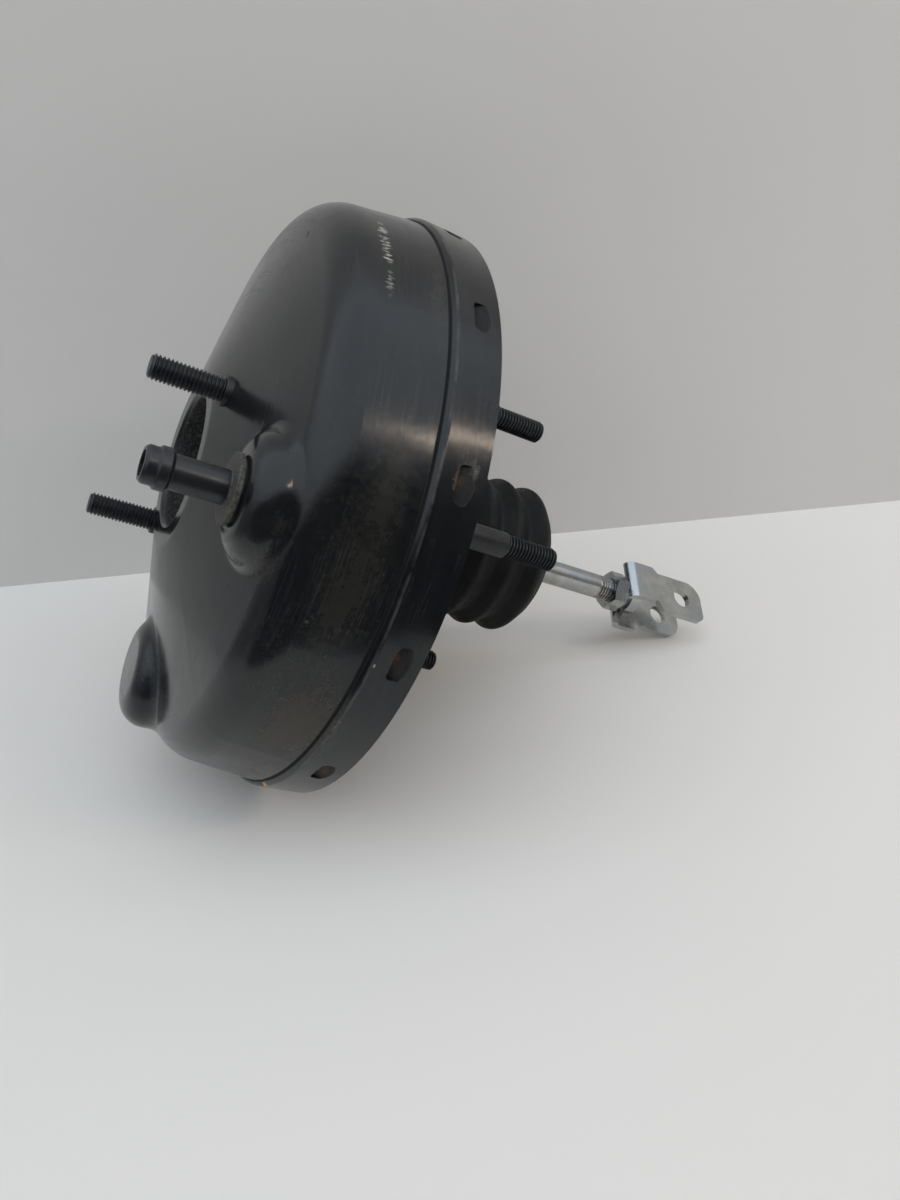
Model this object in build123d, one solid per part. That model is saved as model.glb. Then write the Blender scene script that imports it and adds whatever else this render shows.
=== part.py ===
from build123d import *
import math
import os

# Vacuum brake booster. Millimetres. The booster axis is Y: the master cylinder
# side faces -Y and the push rod leaves toward +Y. y = 0 is the face that sits
# on the firewall. Z runs through the two master cylinder studs.

os.makedirs("parts", exist_ok=True)

# sheet and skirt
sheet_t = 1.6
skirt_r = 102.0
skirt_rear_y = -20.0
joggle_y = -34.0
joggle_depth = 1.7
joggle_length = 1.7
wall_r = skirt_r - joggle_depth
skirt_in_r = skirt_r - sheet_t
wall_in_r = wall_r - sheet_t
bend_r = 1.5

# front of the booster
seat_y = -82.0
seat_r = 30.5
cone_slope = 0.2407
neck_r = 22.5
neck_end_y = -69.0
neck_bend_r = 2.2
seat_bend_r = 9.0
wall_draft = 4.35
corner_r = wall_r - wall_draft
corner_fillet = 14.0
cone_corner_y = seat_y + cone_slope * (corner_r - seat_r)

# round bosses pressed in the front shell
boss_seat_y = -78.4
boss_r = 20.0
boss_edge = 9.0
port_blend = 4.0
blank_blend = 7.0
boss_depth = 26.0
port_wall_gap = 28.56
port_angle = 48.22
blank_wall_gap = 25.2
blank_angle = -45.54
port_x = (wall_r - port_wall_gap) * math.cos(math.radians(port_angle))
port_z = (wall_r - port_wall_gap) * math.sin(math.radians(port_angle))
blank_x = (wall_r - blank_wall_gap) * math.cos(math.radians(blank_angle))
blank_z = (wall_r - blank_wall_gap) * math.sin(math.radians(blank_angle))

# lances that lock the skirt behind the rear shell
lance_count = 12
lance_width = 4.6
lance_gap = 0.1
lance_length = 11.0
lance_depth = 1.9
lance_end_r = 1.6

# rear shell
rim_y = -29.0
rim_gap = 0.3
rim_width = 2.7
rim_r = skirt_in_r - rim_gap
lance_y = rim_y + lance_gap
rear_wall_r = rim_r - rim_width
rear_flat_r = 59.0
rear_cone_y = -20.5
rear_bend_r = 5.0
rim_bend_r = 1.0
tail_neck_r = 25.5
tail_neck_end_y = 11.0

# studs
thread_r = 4.0
front_stud_z = 38.5
front_stud_tip_y = -103.8
front_shank_r = 4.9
front_shank_stand = 1.2
rear_stud_x = 28.5
rear_stud_z = 41.8
rear_neck_r = 4.8
rear_shoulder_r = 4.4
rear_shoulder_y = 17.9
rear_stud_tip_y = 37.6
stud_head_r = 6.5
stud_head_t = 2.0
stud_head_gap = 0.15
stud_chamfer = 0.9
press_clearance = 0.02
plate_t = 2.0
plate_gap = 0.05
front_plate_r = 50.0
rear_plate_r = 56.6

# vacuum port
port_tube_r = 5.0
port_bore_r = 3.7
port_bead_r = 6.1
port_bead_length = 2.6
port_bead_back = 4.2
port_ramp = 0.9
port_tip_y = -104.0
port_flange_r = 10.4
port_flange_t = 1.6
gasket_t = 0.8
gasket_r = 9.4

# rear seal and its retainer in the tail neck
seal_gap = 0.35
seal_front_y = 1.2
seal_rear_y = 8.9
seal_lip_t = 1.4
seal_groove = 1.6
retainer_t = 0.9
retainer_gap = 1.2

# valve body and what it carries
seal_room = 8.5
tail_wall = 3.5
tail_r = tail_neck_r - seal_room
tail_bore_r = tail_r - tail_wall
tail_end_y = 48.0
hub_step = 2.5
hub_rim = 4.5
hub_neck_r = tail_r + hub_step
hub_r = hub_neck_r + hub_rim
hub_edge = 1.5
hub_front_y = -30.0
hub_neck_rear_y = -5.0
hub_neck_edge = 1.1
piston_plate_y = -10.0
piston_plate_t = 1.5
roll_width = 16.3
piston_plate_r = wall_r - roll_width
plate_knee_r = 56.0
plate_knee_bend = 5.0
plate_rim_bend = 4.0
plate_rim_y = -25.5
plate_lip_y = -33.0
plunger_bore_r = 6.05
plunger_r = 6.0
plunger_nose_r = 4.6
plunger_travel = 1.6
plunger_gap = 0.1
head_y = 14.8
head_bore_y = 13.0
valve_seat_y = 21.8
valve_seat_inset = 3.1
valve_seat_r = tail_bore_r - valve_seat_inset
valve_seat_land = 1.2
head_bore_step = 1.0
head_gap = 0.6
head_bore_r = valve_seat_r - head_bore_step
head_r = head_bore_r - head_gap
valve_seat_rise = 1.2
reaction_wall = 8.5
reaction_bore_r = hub_neck_r - reaction_wall
reaction_y = -14.0
reaction_t = 8.0
fit_gap = 0.05
stack_gap = 0.02
passage_r = 1.7
passage_inset = 0.9
passage_angle = 143.13
passage_x = (tail_bore_r - passage_inset) * math.cos(math.radians(passage_angle))
passage_z = (tail_bore_r - passage_inset) * math.sin(math.radians(passage_angle))

# diaphragm
rubber_t = 1.8
roll_y = -40.0
roll_bend = 2.6
roll_start = 8.7
roll_rise = 4.8
bead_gap = 0.7
bead_y = -34.4
bead_edge = 1.4
bead_inset = 2.8
bead_base = 3.1

# output rod, its retainer and the return spring
output_head_t = 5.0
output_neck_r = 7.0
output_rod_r = 5.0
output_neck_t = 3.0
output_tip_r = 4.2
output_step_y = -60.0
output_tip_y = -64.5
output_end_y = -65.6
rod_retainer_inset = 3.5
rod_retainer_r = hub_r - rod_retainer_inset
rod_retainer_bore_r = 5.6
rod_retainer_t = 1.2
spring_wire = 1.5
spring_room = 3.6
spring_r = hub_r + spring_room
spring_turns = 5.5

# stop key
key_y = -3.6
key_t = 1.8
key_w = 11.0
key_inset = 0.2
key_reach = tail_r - key_inset
key_start = -0.2
groove_r = 4.1
groove_gap = 0.3
fork_x = 4.4

# poppet, its spring and retainer
poppet_face_gap = 1.3
poppet_face_r = tail_bore_r - poppet_face_gap
poppet_face_t = 1.6
poppet_wall = 1.0
poppet_face_width = 4.3
poppet_lip = 1.3
poppet_neck_r = poppet_face_r - poppet_face_width
poppet_bore_r = poppet_neck_r - poppet_lip
poppet_flange_y = 27.0
poppet_flange_t = 2.6
poppet_spring_gap = 2.5
poppet_spring_r = tail_bore_r - poppet_spring_gap
poppet_wire = 0.5
poppet_turns = 2.0
poppet_retainer_t = 2.95
poppet_retainer_width = 4.9
poppet_retainer_r = tail_bore_r - poppet_retainer_width
poppet_retainer_wall = 1.0

# push rod and clevis
ball_y = 15.0
ball_r = 5.0
rod_r = 4.9
rod_neck_r = 3.4
socket_gap = 0.95
rod_neck_y = 31.0
rod_shoulder_y = 34.0
rod_neck_bend = 2.0
rod_seat_y = 41.0
rod_seat_r = 9.4
rod_seat_t = 1.0
rod_spring_r = 8.4
rod_wire = 0.7
rod_spring_turns = 4.5
thread_gap = 0.01
nut_y = 98.0
nut_af = 14.0
nut_bevel = 0.9
clevis_back_y = 104.5
clevis_t = 2.5
clevis_half = 9.0
clevis_hole_y = 131.5
clevis_hole_r = 4.1
clevis_tip_y = 142.5
clevis_step_y = 118.6
clevis_tip_half = 9.0
clevis_long = 11.4
clevis_short = 5.1
clevis_bend = 3.6
clevis_collar = 2.6
clevis_collar_t = 4.4
clevis_corner_r = 7.5
clevis_small_r = 3.2
rod_past_clevis = 5.4

# air filter and its retainer
filter_y = 43.4
filter_bore_r = 7.4
filter_gap = 0.1
filter_cap_t = 0.95
filter_cap_bore_r = 8.4
filter_cap_edge = 1.1

# dust boot
boot_t = 1.7
boot_lip_y = 2.7
boot_lip_t = 2.7
boot_crest_rise = 3.9
boot_fold_depth = 4.0
boot_crest_r = tail_neck_r + boot_crest_rise
boot_valley_r = boot_crest_r - boot_fold_depth
boot_first_crest_y = 11.6
boot_pitch = 12.0
boot_crests = 4
boot_end_y = 53.5
boot_end_step = 0.5
boot_end_r = boot_valley_r - boot_end_step
boot_end_edge = 1.9
boot_neck_r = 9.2
boot_neck_end_r = 7.4
boot_neck_t = 3.4
boot_rod_gap = 0.35


def direction(a, b):
    dx = b[0] - a[0]
    dy = b[1] - a[1]
    length = math.hypot(dx, dy)
    return dx / length, dy / length


def path_edges(points):
    edges = []
    last = points[0][:2]
    for i in range(1, len(points)):
        here = points[i]
        radius = here[2] if len(here) > 2 and i < len(points) - 1 else 0.0
        if radius <= 0.0:
            edges.append(Line(last, here[:2]))
            last = here[:2]
            continue
        u = direction(points[i - 1], here)
        v = direction(here, points[i + 1])
        turn = math.acos(max(-1.0, min(1.0, u[0] * v[0] + u[1] * v[1])))
        reach = radius * math.tan(turn / 2)
        start = (here[0] - u[0] * reach, here[1] - u[1] * reach)
        end = (here[0] + v[0] * reach, here[1] + v[1] * reach)
        wx, wy = v[0] - u[0], v[1] - u[1]
        size = math.hypot(wx, wy)
        wx, wy = wx / size, wy / size
        far = radius / math.cos(turn / 2)
        middle = (here[0] + wx * (far - radius), here[1] + wy * (far - radius))
        edges.append(Line(last, start))
        edges.append(ThreePointArc(start, middle, end))
        last = end
    return edges


def offset_points(points, distance):
    moved = []
    for i, here in enumerate(points):
        radius = here[2] if len(here) > 2 else 0.0
        if i == 0 or i == len(points) - 1:
            if i == 0:
                u = direction(points[0], points[1])
            else:
                u = direction(points[-2], points[-1])
            moved.append((here[0] - u[1] * distance, here[1] + u[0] * distance))
            continue
        u = direction(points[i - 1], here)
        v = direction(here, points[i + 1])
        cross = u[0] * v[1] - u[1] * v[0]
        nx = -u[1] - v[1]
        ny = u[0] + v[0]
        scale = 2 * distance / (nx * nx + ny * ny)
        new_radius = radius - distance if cross > 0 else radius + distance
        moved.append((here[0] + nx * scale, here[1] + ny * scale, max(0.0, new_radius)))
    return moved


def spin(points):
    closed = list(points)
    edges = path_edges(closed)
    edges.append(Line(closed[-1][:2], closed[0][:2]))
    return revolve(make_face(edges), axis=Axis.Y)


def pressing(points, thickness):
    other = offset_points(points, thickness)
    edges = path_edges(points)
    edges.append(Line(points[-1][:2], other[-1][:2]))
    edges += path_edges(list(reversed(other)))
    edges.append(Line(other[0][:2], points[0][:2]))
    return revolve(make_face(edges), axis=Axis.Y)


def rod_y(radius, y0, y1, x=0.0, z=0.0):
    low, high = min(y0, y1), max(y0, y1)
    disc = Plane(origin=(x, low, z), z_dir=(0, 1, 0)) * Circle(radius)
    return extrude(disc, amount=high - low)


def coil(radius, wire_r, y0, y1, turns):
    height = y1 - y0 - 2 * wire_r
    line = Helix(height / turns, height, radius, center=(0, y0 + wire_r, 0), direction=(0, 1, 0))
    cut = Plane(origin=line @ 0, z_dir=line % 0) * Circle(wire_r)
    return sweep(cut, path=line)


def save(shape, node):
    export_step(shape, "parts/" + node + ".step")


# front shell: one deep pressing with a re-entrant neck and two round bosses
front_outer = [
    (neck_r, neck_end_y),
    (neck_r, seat_y, neck_bend_r),
    (seat_r, seat_y, seat_bend_r),
    (corner_r, cone_corner_y, corner_fillet),
    (wall_r, joggle_y - joggle_length - 0.4, bend_r),
    (skirt_r, joggle_y - 0.4, bend_r),
    (skirt_r, skirt_rear_y),
]
front_inner = offset_points(front_outer, sheet_t)
shell_outside = spin(front_outer + [(neck_r, skirt_rear_y)])
hollow_points = [(front_inner[0][0], neck_end_y)] + front_inner[1:-1]
hollow_points += [(skirt_in_r, skirt_rear_y + 1), (neck_r - 1, skirt_rear_y + 1), (neck_r - 1, neck_end_y)]
shell_hollow = spin(hollow_points)


def with_boss(base, x, z, blend, shrink):
    body = rod_y(boss_r - shrink, boss_seat_y + shrink, boss_seat_y + boss_depth, x, z)
    body = fillet(body.edges().sort_by(Axis.Y)[0], boss_edge - shrink)
    joined = base + body
    return fillet(new_edges(base, body, combined=joined), blend + shrink)


for x, z, blend in ((port_x, port_z, port_blend), (blank_x, blank_z, blank_blend)):
    shell_outside = with_boss(shell_outside, x, z, blend, 0.0)
    shell_hollow = with_boss(shell_hollow, x, z, blend, sheet_t)
front_shell = shell_outside - shell_hollow

# lances: wedges pressed in behind the rear shell's rim, deepest at their sheared front edge
lance_in_r = skirt_r - lance_depth
dent_outline = [
    (skirt_r + 1, lance_y), (lance_in_r, lance_y),
    (skirt_r, lance_y + lance_width), (skirt_r + 1, lance_y + lance_width),
]
bump_outline = [
    (skirt_in_r + 0.3, lance_y), (lance_in_r - sheet_t, lance_y), (lance_in_r - sheet_t, lance_y + 0.8),
    (skirt_in_r, lance_y + lance_width + 0.8), (skirt_in_r + 0.3, lance_y + lance_width + 0.8),
]


def lance_wedge(outline, length):
    wedge = extrude(make_face(Polyline(*outline, close=True)), amount=length / 2, both=True)
    ends = wedge.edges().filter_by(Axis.X).sort_by(Axis.Y)[:2]
    return fillet(ends, lance_end_r)


dent = lance_wedge(dent_outline, lance_length)
bump = lance_wedge(bump_outline, lance_length + 1.2)
for i in range(lance_count):
    turn = Rotation(0, 360.0 * i / lance_count, 0)
    front_shell = front_shell + turn * bump
    front_shell = front_shell - turn * dent

# holes in the front shell
port_hole_r = port_tube_r + press_clearance
front_hole_r = front_shank_r + press_clearance
front_shell = front_shell - rod_y(port_hole_r, boss_seat_y - 2, boss_seat_y + 4, port_x, port_z)
for side in (-1, 1):
    front_shell = front_shell - rod_y(front_hole_r, seat_y - 3, seat_y + 12, 0, side * front_stud_z)

# front reinforcement plate, inside against the cone
inner_y = seat_y + sheet_t + plate_gap
front_plate_bore = neck_r + sheet_t + 0.4
plate_slope_y = inner_y + cone_slope * (front_plate_r - seat_r) + plate_gap
front_plate = pressing([
    (front_plate_bore, inner_y), (seat_r - 0.2, inner_y, seat_bend_r - sheet_t), (front_plate_r, plate_slope_y),
], plate_t)
for side in (-1, 1):
    front_plate = front_plate - rod_y(front_hole_r, seat_y - 3, seat_y + 14, 0, side * front_stud_z)

# front studs: welded head inside, plain shank through both sheets, M8 thread outside
cone_length = math.hypot(1.0, cone_slope)
cone_stud_y = seat_y + cone_slope * (front_stud_z - seat_r)
shank_y = cone_stud_y - front_shank_stand
stud_head_y = cone_stud_y + cone_slope * stud_head_r + (sheet_t + plate_t) * cone_length + stud_head_gap
front_studs = []
for side in (-1, 1):
    z = side * front_stud_z
    stud = rod_y(front_shank_r, shank_y, stud_head_y, 0, z)
    stud = stud + rod_y(stud_head_r, stud_head_y, stud_head_y + stud_head_t, 0, z)
    thread = rod_y(thread_r, front_stud_tip_y, shank_y + 0.1, 0, z)
    thread = chamfer(thread.edges().sort_by(Axis.Y)[0], stud_chamfer)
    front_studs.append(stud + thread)

# rear shell: flat firewall face, cone, rim behind the diaphragm bead, neck for the valve body
rear_outer = [
    (tail_neck_r, tail_neck_end_y),
    (tail_neck_r, 0.0, neck_bend_r),
    (rear_flat_r, 0.0, rear_bend_r),
    (rear_wall_r, rear_cone_y, rear_bend_r),
    (rear_wall_r, rim_y, rim_bend_r),
    (rim_r, rim_y),
]
rear_shell = pressing(rear_outer, -sheet_t)

# rear reinforcement plate and the four firewall studs
rear_plate_y = -sheet_t - plate_gap
rear_plate = rod_y(rear_plate_r, rear_plate_y - plate_t, rear_plate_y)
rear_plate = rear_plate - rod_y(tail_neck_r + neck_bend_r, rear_plate_y - 5, 1)
rear_hole_r = rear_neck_r + press_clearance
rear_studs = []
rear_head_y = rear_plate_y - plate_t
for sx in (-1, 1):
    for sz in (-1, 1):
        x, z = sx * rear_stud_x, sz * rear_stud_z
        rear_shell = rear_shell - rod_y(rear_hole_r, -6, 6, x, z)
        rear_plate = rear_plate - rod_y(rear_hole_r, -6, 6, x, z)
        stud = rod_y(rear_neck_r, rear_head_y, 0, x, z)
        stud = stud + rod_y(rear_shoulder_r, -0.1, rear_shoulder_y, x, z)
        stud = stud + rod_y(stud_head_r, rear_head_y - stud_head_t, rear_head_y, x, z)
        thread = rod_y(thread_r, rear_shoulder_y - 0.1, rear_stud_tip_y, x, z)
        thread = chamfer(thread.edges().sort_by(Axis.Y)[-1], stud_chamfer)
        rear_studs.append(stud + thread)

# vacuum port: flanged steel tube with a hose bead, on a thin gasket
flange_y = boss_seat_y - gasket_t
bead_y0 = port_tip_y + port_bead_back
bead_y1 = bead_y0 + port_bead_length
port_nose_r = port_tube_r + 0.4
port_head_y0 = boss_seat_y + sheet_t * 2
port_head_y1 = port_head_y0 + 1.3
port_profile = [
    (port_bore_r, port_head_y1),
    (port_bore_r, port_tip_y),
    (port_tube_r - 0.3, port_tip_y),
    (port_nose_r, port_tip_y + port_ramp, 0.4),
    (port_nose_r, bead_y0 - 0.7, 0.5),
    (port_bead_r, bead_y0, 0.3),
    (port_bead_r, bead_y1, 0.3),
    (port_tube_r, bead_y1 + 0.8, 0.3),
    (port_tube_r, flange_y - port_flange_t, 0.5),
    (port_flange_r, flange_y - port_flange_t, 0.5),
    (port_flange_r, flange_y),
    (port_tube_r, flange_y),
    (port_tube_r, port_head_y0),
    (port_tube_r + 0.9, port_head_y0),
    (port_tube_r + 0.9, port_head_y1),
]
vacuum_port = Pos(port_x, 0, port_z) * spin(port_profile)
gasket = rod_y(gasket_r, flange_y, boss_seat_y, port_x, port_z)
gasket = gasket - rod_y(port_tube_r + press_clearance, flange_y - 1, boss_seat_y + 1, port_x, port_z)

# seal and its retainer in the tail neck
neck_bore_r = tail_neck_r - sheet_t - fit_gap
seal_inner_r = tail_r + seal_gap
seal_groove_r = seal_inner_r + seal_groove
seal_y1 = seal_front_y + 0.4
seal_y2 = seal_y1 + seal_groove
seal_y5 = seal_rear_y - 0.6
seal_y4 = seal_y5 - seal_groove - 0.1
rear_seal = spin([
    (seal_inner_r, seal_y1), (seal_inner_r + seal_lip_t, seal_front_y, 0.4), (neck_bore_r, seal_front_y, 0.6),
    (neck_bore_r, seal_rear_y), (seal_inner_r + 1.0, seal_rear_y, 0.4), (seal_inner_r, seal_y5, 0.3),
    (seal_inner_r, seal_y4, 0.3), (seal_groove_r, seal_y4 - 0.8, 0.5), (seal_groove_r, seal_y2 + 0.8, 0.5),
    (seal_inner_r, seal_y2, 0.3),
])
retainer_y = seal_rear_y + 0.1
retainer_bore_r = tail_r + retainer_gap
retainer_end_y = tail_neck_end_y - 0.2
seal_retainer = spin([
    (retainer_bore_r, retainer_y), (neck_bore_r, retainer_y), (neck_bore_r, retainer_end_y),
    (neck_bore_r - retainer_t, retainer_end_y), (neck_bore_r - retainer_t, retainer_y + retainer_t, 0.4),
    (retainer_bore_r, retainer_y + retainer_t),
])

# dust boot: rubber bellows gripping the neck, closed round the rod
boot_lip_r = tail_neck_r + boot_lip_t
boot_in_r = tail_neck_r + fit_gap
boot_wall = boot_t * 1.05
boot_outer = [(boot_lip_r, boot_lip_y), (boot_lip_r, boot_first_crest_y - 3.0, 2.0)]
boot_inner = [(boot_in_r, boot_lip_y), (boot_in_r, boot_first_crest_y - 0.6, 0.4)]
for i in range(boot_crests):
    crest = boot_first_crest_y + i * boot_pitch
    if i > 0:
        boot_outer.append((boot_valley_r, crest - boot_pitch / 2, 2.4))
        boot_inner.append((boot_valley_r - boot_wall, crest - boot_pitch / 2, 1.0))
    boot_outer.append((boot_crest_r, crest, 2.8))
    boot_inner.append((boot_crest_r - boot_wall, crest, 1.4))
boot_outer.append((boot_end_r, boot_end_y - 1.4, 1.0))
boot_outer.append((boot_end_r - boot_end_edge, boot_end_y, 0.8))
boot_outer.append((boot_neck_r, boot_end_y, 1.0))
boot_outer.append((boot_neck_end_r, boot_end_y + boot_neck_t))
boot_floor_y = boot_end_y - boot_t
boot_hole_r = rod_r + boot_rod_gap
boot_inner.append((boot_end_r - boot_end_edge - 0.4, boot_floor_y - 0.6, 0.8))
boot_inner.append((boot_end_r - boot_end_edge - 1.4, boot_floor_y, 0.6))
boot_inner.append((boot_hole_r, boot_floor_y))
boot_inner.append((boot_hole_r, boot_end_y + boot_neck_t))
boot_edges = path_edges(boot_outer)
boot_edges.append(Line(boot_outer[-1][:2], boot_inner[-1][:2]))
boot_edges += path_edges(list(reversed(boot_inner)))
boot_edges.append(Line(boot_inner[0][:2], boot_outer[0][:2]))
dust_boot = revolve(make_face(boot_edges), axis=Axis.Y)

# valve body: hub, stepped bore and tail
hub_rear_y = piston_plate_y - piston_plate_t - fit_gap
seat_base_y = valve_seat_y - valve_seat_rise - 0.2
seat_top_y = valve_seat_y - 0.2
valve_body = spin([
    (reaction_bore_r, hub_front_y), (hub_r - hub_edge, hub_front_y), (hub_r, hub_front_y + hub_edge),
    (hub_r, hub_rear_y),
    (hub_neck_r, hub_rear_y), (hub_neck_r, hub_neck_rear_y - 0.6),
    (hub_neck_r - hub_neck_edge, hub_neck_rear_y), (tail_r, hub_neck_rear_y),
    (tail_r, tail_end_y), (tail_bore_r, tail_end_y),
    (tail_bore_r, seat_base_y), (valve_seat_r + valve_seat_land, seat_base_y),
    (valve_seat_r + valve_seat_land, seat_top_y, 0.2),
    (valve_seat_r, seat_top_y, 0.2), (head_bore_r, seat_base_y),
    (head_bore_r, head_bore_y), (plunger_bore_r, head_bore_y), (plunger_bore_r, reaction_y),
    (reaction_bore_r, reaction_y),
])
key_mid_y = key_y + key_t / 2
key_slot_start = key_start - fit_gap
key_slot_end = tail_r + 1.25
key_slot = Box(key_slot_end - key_slot_start, key_t + 2 * fit_gap, key_w + 2 * fit_gap)
key_slot = Pos((key_slot_start + key_slot_end) / 2, key_mid_y, 0) * key_slot
valve_body = valve_body - key_slot
for side in (-1, 1):
    passage = rod_y(passage_r, hub_front_y - 1, valve_seat_y + 2, passage_x, side * passage_z)
    valve_body = valve_body - passage

# power piston plate
plate_bore_r = hub_neck_r + 0.1
plate_front_y = piston_plate_y - piston_plate_t
piston_plate = pressing([
    (plate_bore_r, piston_plate_y), (plate_knee_r, piston_plate_y, plate_knee_bend),
    (piston_plate_r, plate_rim_y, plate_rim_bend),
    (piston_plate_r, plate_lip_y),
], -piston_plate_t)

# diaphragm: rubber on the plate, one rolling fold, and a bead held by the two shells
top = piston_plate_y + fit_gap
fold_r = piston_plate_r + 2 * fit_gap
bead_outer_r = skirt_in_r - bead_gap
bead_rear_y = rim_y - sheet_t - fit_gap
fold_rise_y = roll_y + roll_rise
fold_end_r = wall_in_r - roll_start / 2 + 0.25
diaphragm_front = [
    (plate_bore_r, top), (plate_knee_r, top, plate_knee_bend), (fold_r, plate_rim_y + fit_gap, plate_rim_bend),
    (fold_r, roll_y + 4.0, roll_bend), (wall_in_r - roll_start, roll_y, roll_bend),
    (fold_end_r, fold_rise_y, bead_edge),
]
diaphragm_rear = offset_points(diaphragm_front + [(wall_in_r - 2.3, joggle_y)], rubber_t)
bead_front = [
    (wall_in_r - bead_inset, bead_y), (wall_in_r - 0.3, bead_y, 0.6), (bead_outer_r, bead_y + bead_edge, 0.4),
    (bead_outer_r, bead_rear_y),
]
bead_side = [(wall_in_r - roll_rise, bead_y + 2.0, 1.0), (wall_in_r - bead_base, bead_rear_y)]
rear_side = diaphragm_rear[:-2] + bead_side
d_edges = path_edges(diaphragm_front + bead_front)
d_edges.append(Line(bead_front[-1][:2], rear_side[-1][:2]))
d_edges += path_edges(list(reversed(rear_side)))
d_edges.append(Line(rear_side[0][:2], diaphragm_front[0][:2]))
diaphragm = revolve(make_face(d_edges), axis=Axis.Y)

# reaction disc, output rod and its retainer
disc_r = reaction_bore_r - fit_gap
disc_rear_y = reaction_y - stack_gap
disc_front_y = disc_rear_y - reaction_t
reaction_disc = rod_y(disc_r, disc_front_y, disc_rear_y)
output_rear_y = disc_front_y - stack_gap
output_rod = spin([
    (0, output_rear_y), (disc_r, output_rear_y), (disc_r, output_rear_y - output_head_t),
    (output_neck_r, output_rear_y - output_head_t - 0.6, 0.6),
    (output_rod_r, output_rear_y - output_head_t - output_neck_t, 1.0),
    (output_rod_r, output_step_y), (output_tip_r, output_step_y - 0.8), (output_tip_r, output_tip_y, 1.6),
    (0, output_end_y),
])
retainer_rear_y = hub_front_y - fit_gap
rod_retainer = spin([
    (rod_retainer_bore_r, retainer_rear_y - rod_retainer_t), (rod_retainer_r, retainer_rear_y - rod_retainer_t),
    (rod_retainer_r, retainer_rear_y), (rod_retainer_bore_r, retainer_rear_y),
])

# return spring between the front reinforcement plate and the piston plate
spring_y0 = inner_y + plate_t + fit_gap
spring_y1 = plate_front_y - fit_gap
return_spring = coil(spring_r, spring_wire, spring_y0, spring_y1, spring_turns)

# stop key across the valve body, forked round the plunger groove
fork_r = groove_r + groove_gap
key_length = key_reach - key_start
stop_key = Pos(key_start + key_length / 2, key_mid_y, 0) * Box(key_length, key_t, key_w)
stop_key = stop_key - Pos(fork_x - 6.4, key_mid_y, 0) * Box(13.0, key_t + 1, 2 * fork_r)
stop_key = stop_key - rod_y(fork_r, key_y - 1, key_y + key_t + 1, fork_x, 0)

# valve plunger with the ball socket
plunger_nose_y = reaction_y + plunger_travel + plunger_gap
groove_y0 = key_y - groove_gap
groove_y1 = key_y + key_t + plunger_travel + groove_gap
head_rear_y = valve_seat_y - groove_gap
plunger = spin([
    (0, plunger_nose_y), (plunger_nose_r, plunger_nose_y), (plunger_r, plunger_nose_y + 1.1),
    (plunger_r, groove_y0), (groove_r, groove_y0), (groove_r, groove_y1), (plunger_r, groove_y1),
    (plunger_r, head_y), (head_r, head_y), (head_r, head_rear_y, 0.3), (rod_neck_r + 1.3, head_rear_y),
    (0, head_rear_y),
])
socket = Pos(0, ball_y, 0) * Sphere(ball_r + fit_gap)
socket = socket + rod_y(rod_neck_r + socket_gap, ball_y, valve_seat_y + 1)
valve_plunger = plunger - socket

# poppet valve, its spring and retainer
poppet_y = valve_seat_y + 0.1
poppet_back_y = poppet_y + poppet_face_t
poppet_out_r = tail_bore_r - fit_gap
poppet_rear_y = poppet_flange_y + poppet_flange_t
poppet_valve = spin([
    (poppet_bore_r, poppet_y), (poppet_face_r, poppet_y, 0.5), (poppet_face_r, poppet_back_y, 0.4),
    (poppet_neck_r + poppet_wall, poppet_back_y + 0.4, 0.4),
    (poppet_neck_r + poppet_wall, poppet_flange_y, 0.4), (poppet_out_r, poppet_flange_y),
    (poppet_out_r, poppet_rear_y), (poppet_neck_r, poppet_rear_y, 0.5),
    (poppet_neck_r, poppet_back_y, 0.4), (poppet_bore_r, poppet_back_y),
])
poppet_spring = coil(poppet_spring_r, poppet_wire, poppet_back_y + 0.6, poppet_flange_y - 0.1, poppet_turns)
cup_y = poppet_rear_y + fit_gap
cup_end_y = cup_y + poppet_retainer_t
cup_wall_r = poppet_out_r + fit_gap - poppet_retainer_wall
poppet_retainer = spin([
    (poppet_retainer_r, cup_y), (poppet_out_r, cup_y), (poppet_out_r, cup_end_y), (cup_wall_r, cup_end_y),
    (cup_wall_r, cup_y + 0.95, 0.4), (poppet_retainer_r, cup_y + 0.95),
])

# push rod with its ball, the spring seat and the spring
clevis_back_end = clevis_back_y + clevis_t
rod_end_y = clevis_back_end + rod_past_clevis
ball = Pos(0, ball_y, 0) * Sphere(ball_r)
rod = spin([
    (0, ball_y), (rod_neck_r, ball_y), (rod_neck_r, rod_neck_y, rod_neck_bend),
    (rod_r, rod_shoulder_y, rod_neck_bend), (rod_r, rod_end_y - 1.0), (rod_r - 1.0, rod_end_y), (0, rod_end_y),
])
push_rod = ball + rod
rod_seat_end_y = rod_seat_y + rod_seat_t
spring_seat = rod_y(rod_seat_r, rod_seat_y, rod_seat_end_y)
spring_seat = spring_seat - rod_y(rod_r + fit_gap, rod_seat_y - 1, rod_seat_end_y + 1)
rod_spring = coil(rod_spring_r, rod_wire, cup_y + 1.05, rod_seat_y - fit_gap, rod_spring_turns)

# air filter and its cap
air_filter = rod_y(tail_bore_r - filter_gap, filter_y, tail_end_y - filter_gap)
air_filter = air_filter - rod_y(filter_bore_r, filter_y - 1, tail_end_y + 1)
cap_y = tail_end_y + fit_gap
filter_retainer = rod_y(tail_r + filter_cap_edge, cap_y, cap_y + filter_cap_t)
filter_retainer = filter_retainer - rod_y(filter_cap_bore_r, cap_y - 1, cap_y + filter_cap_t + 1)

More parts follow.
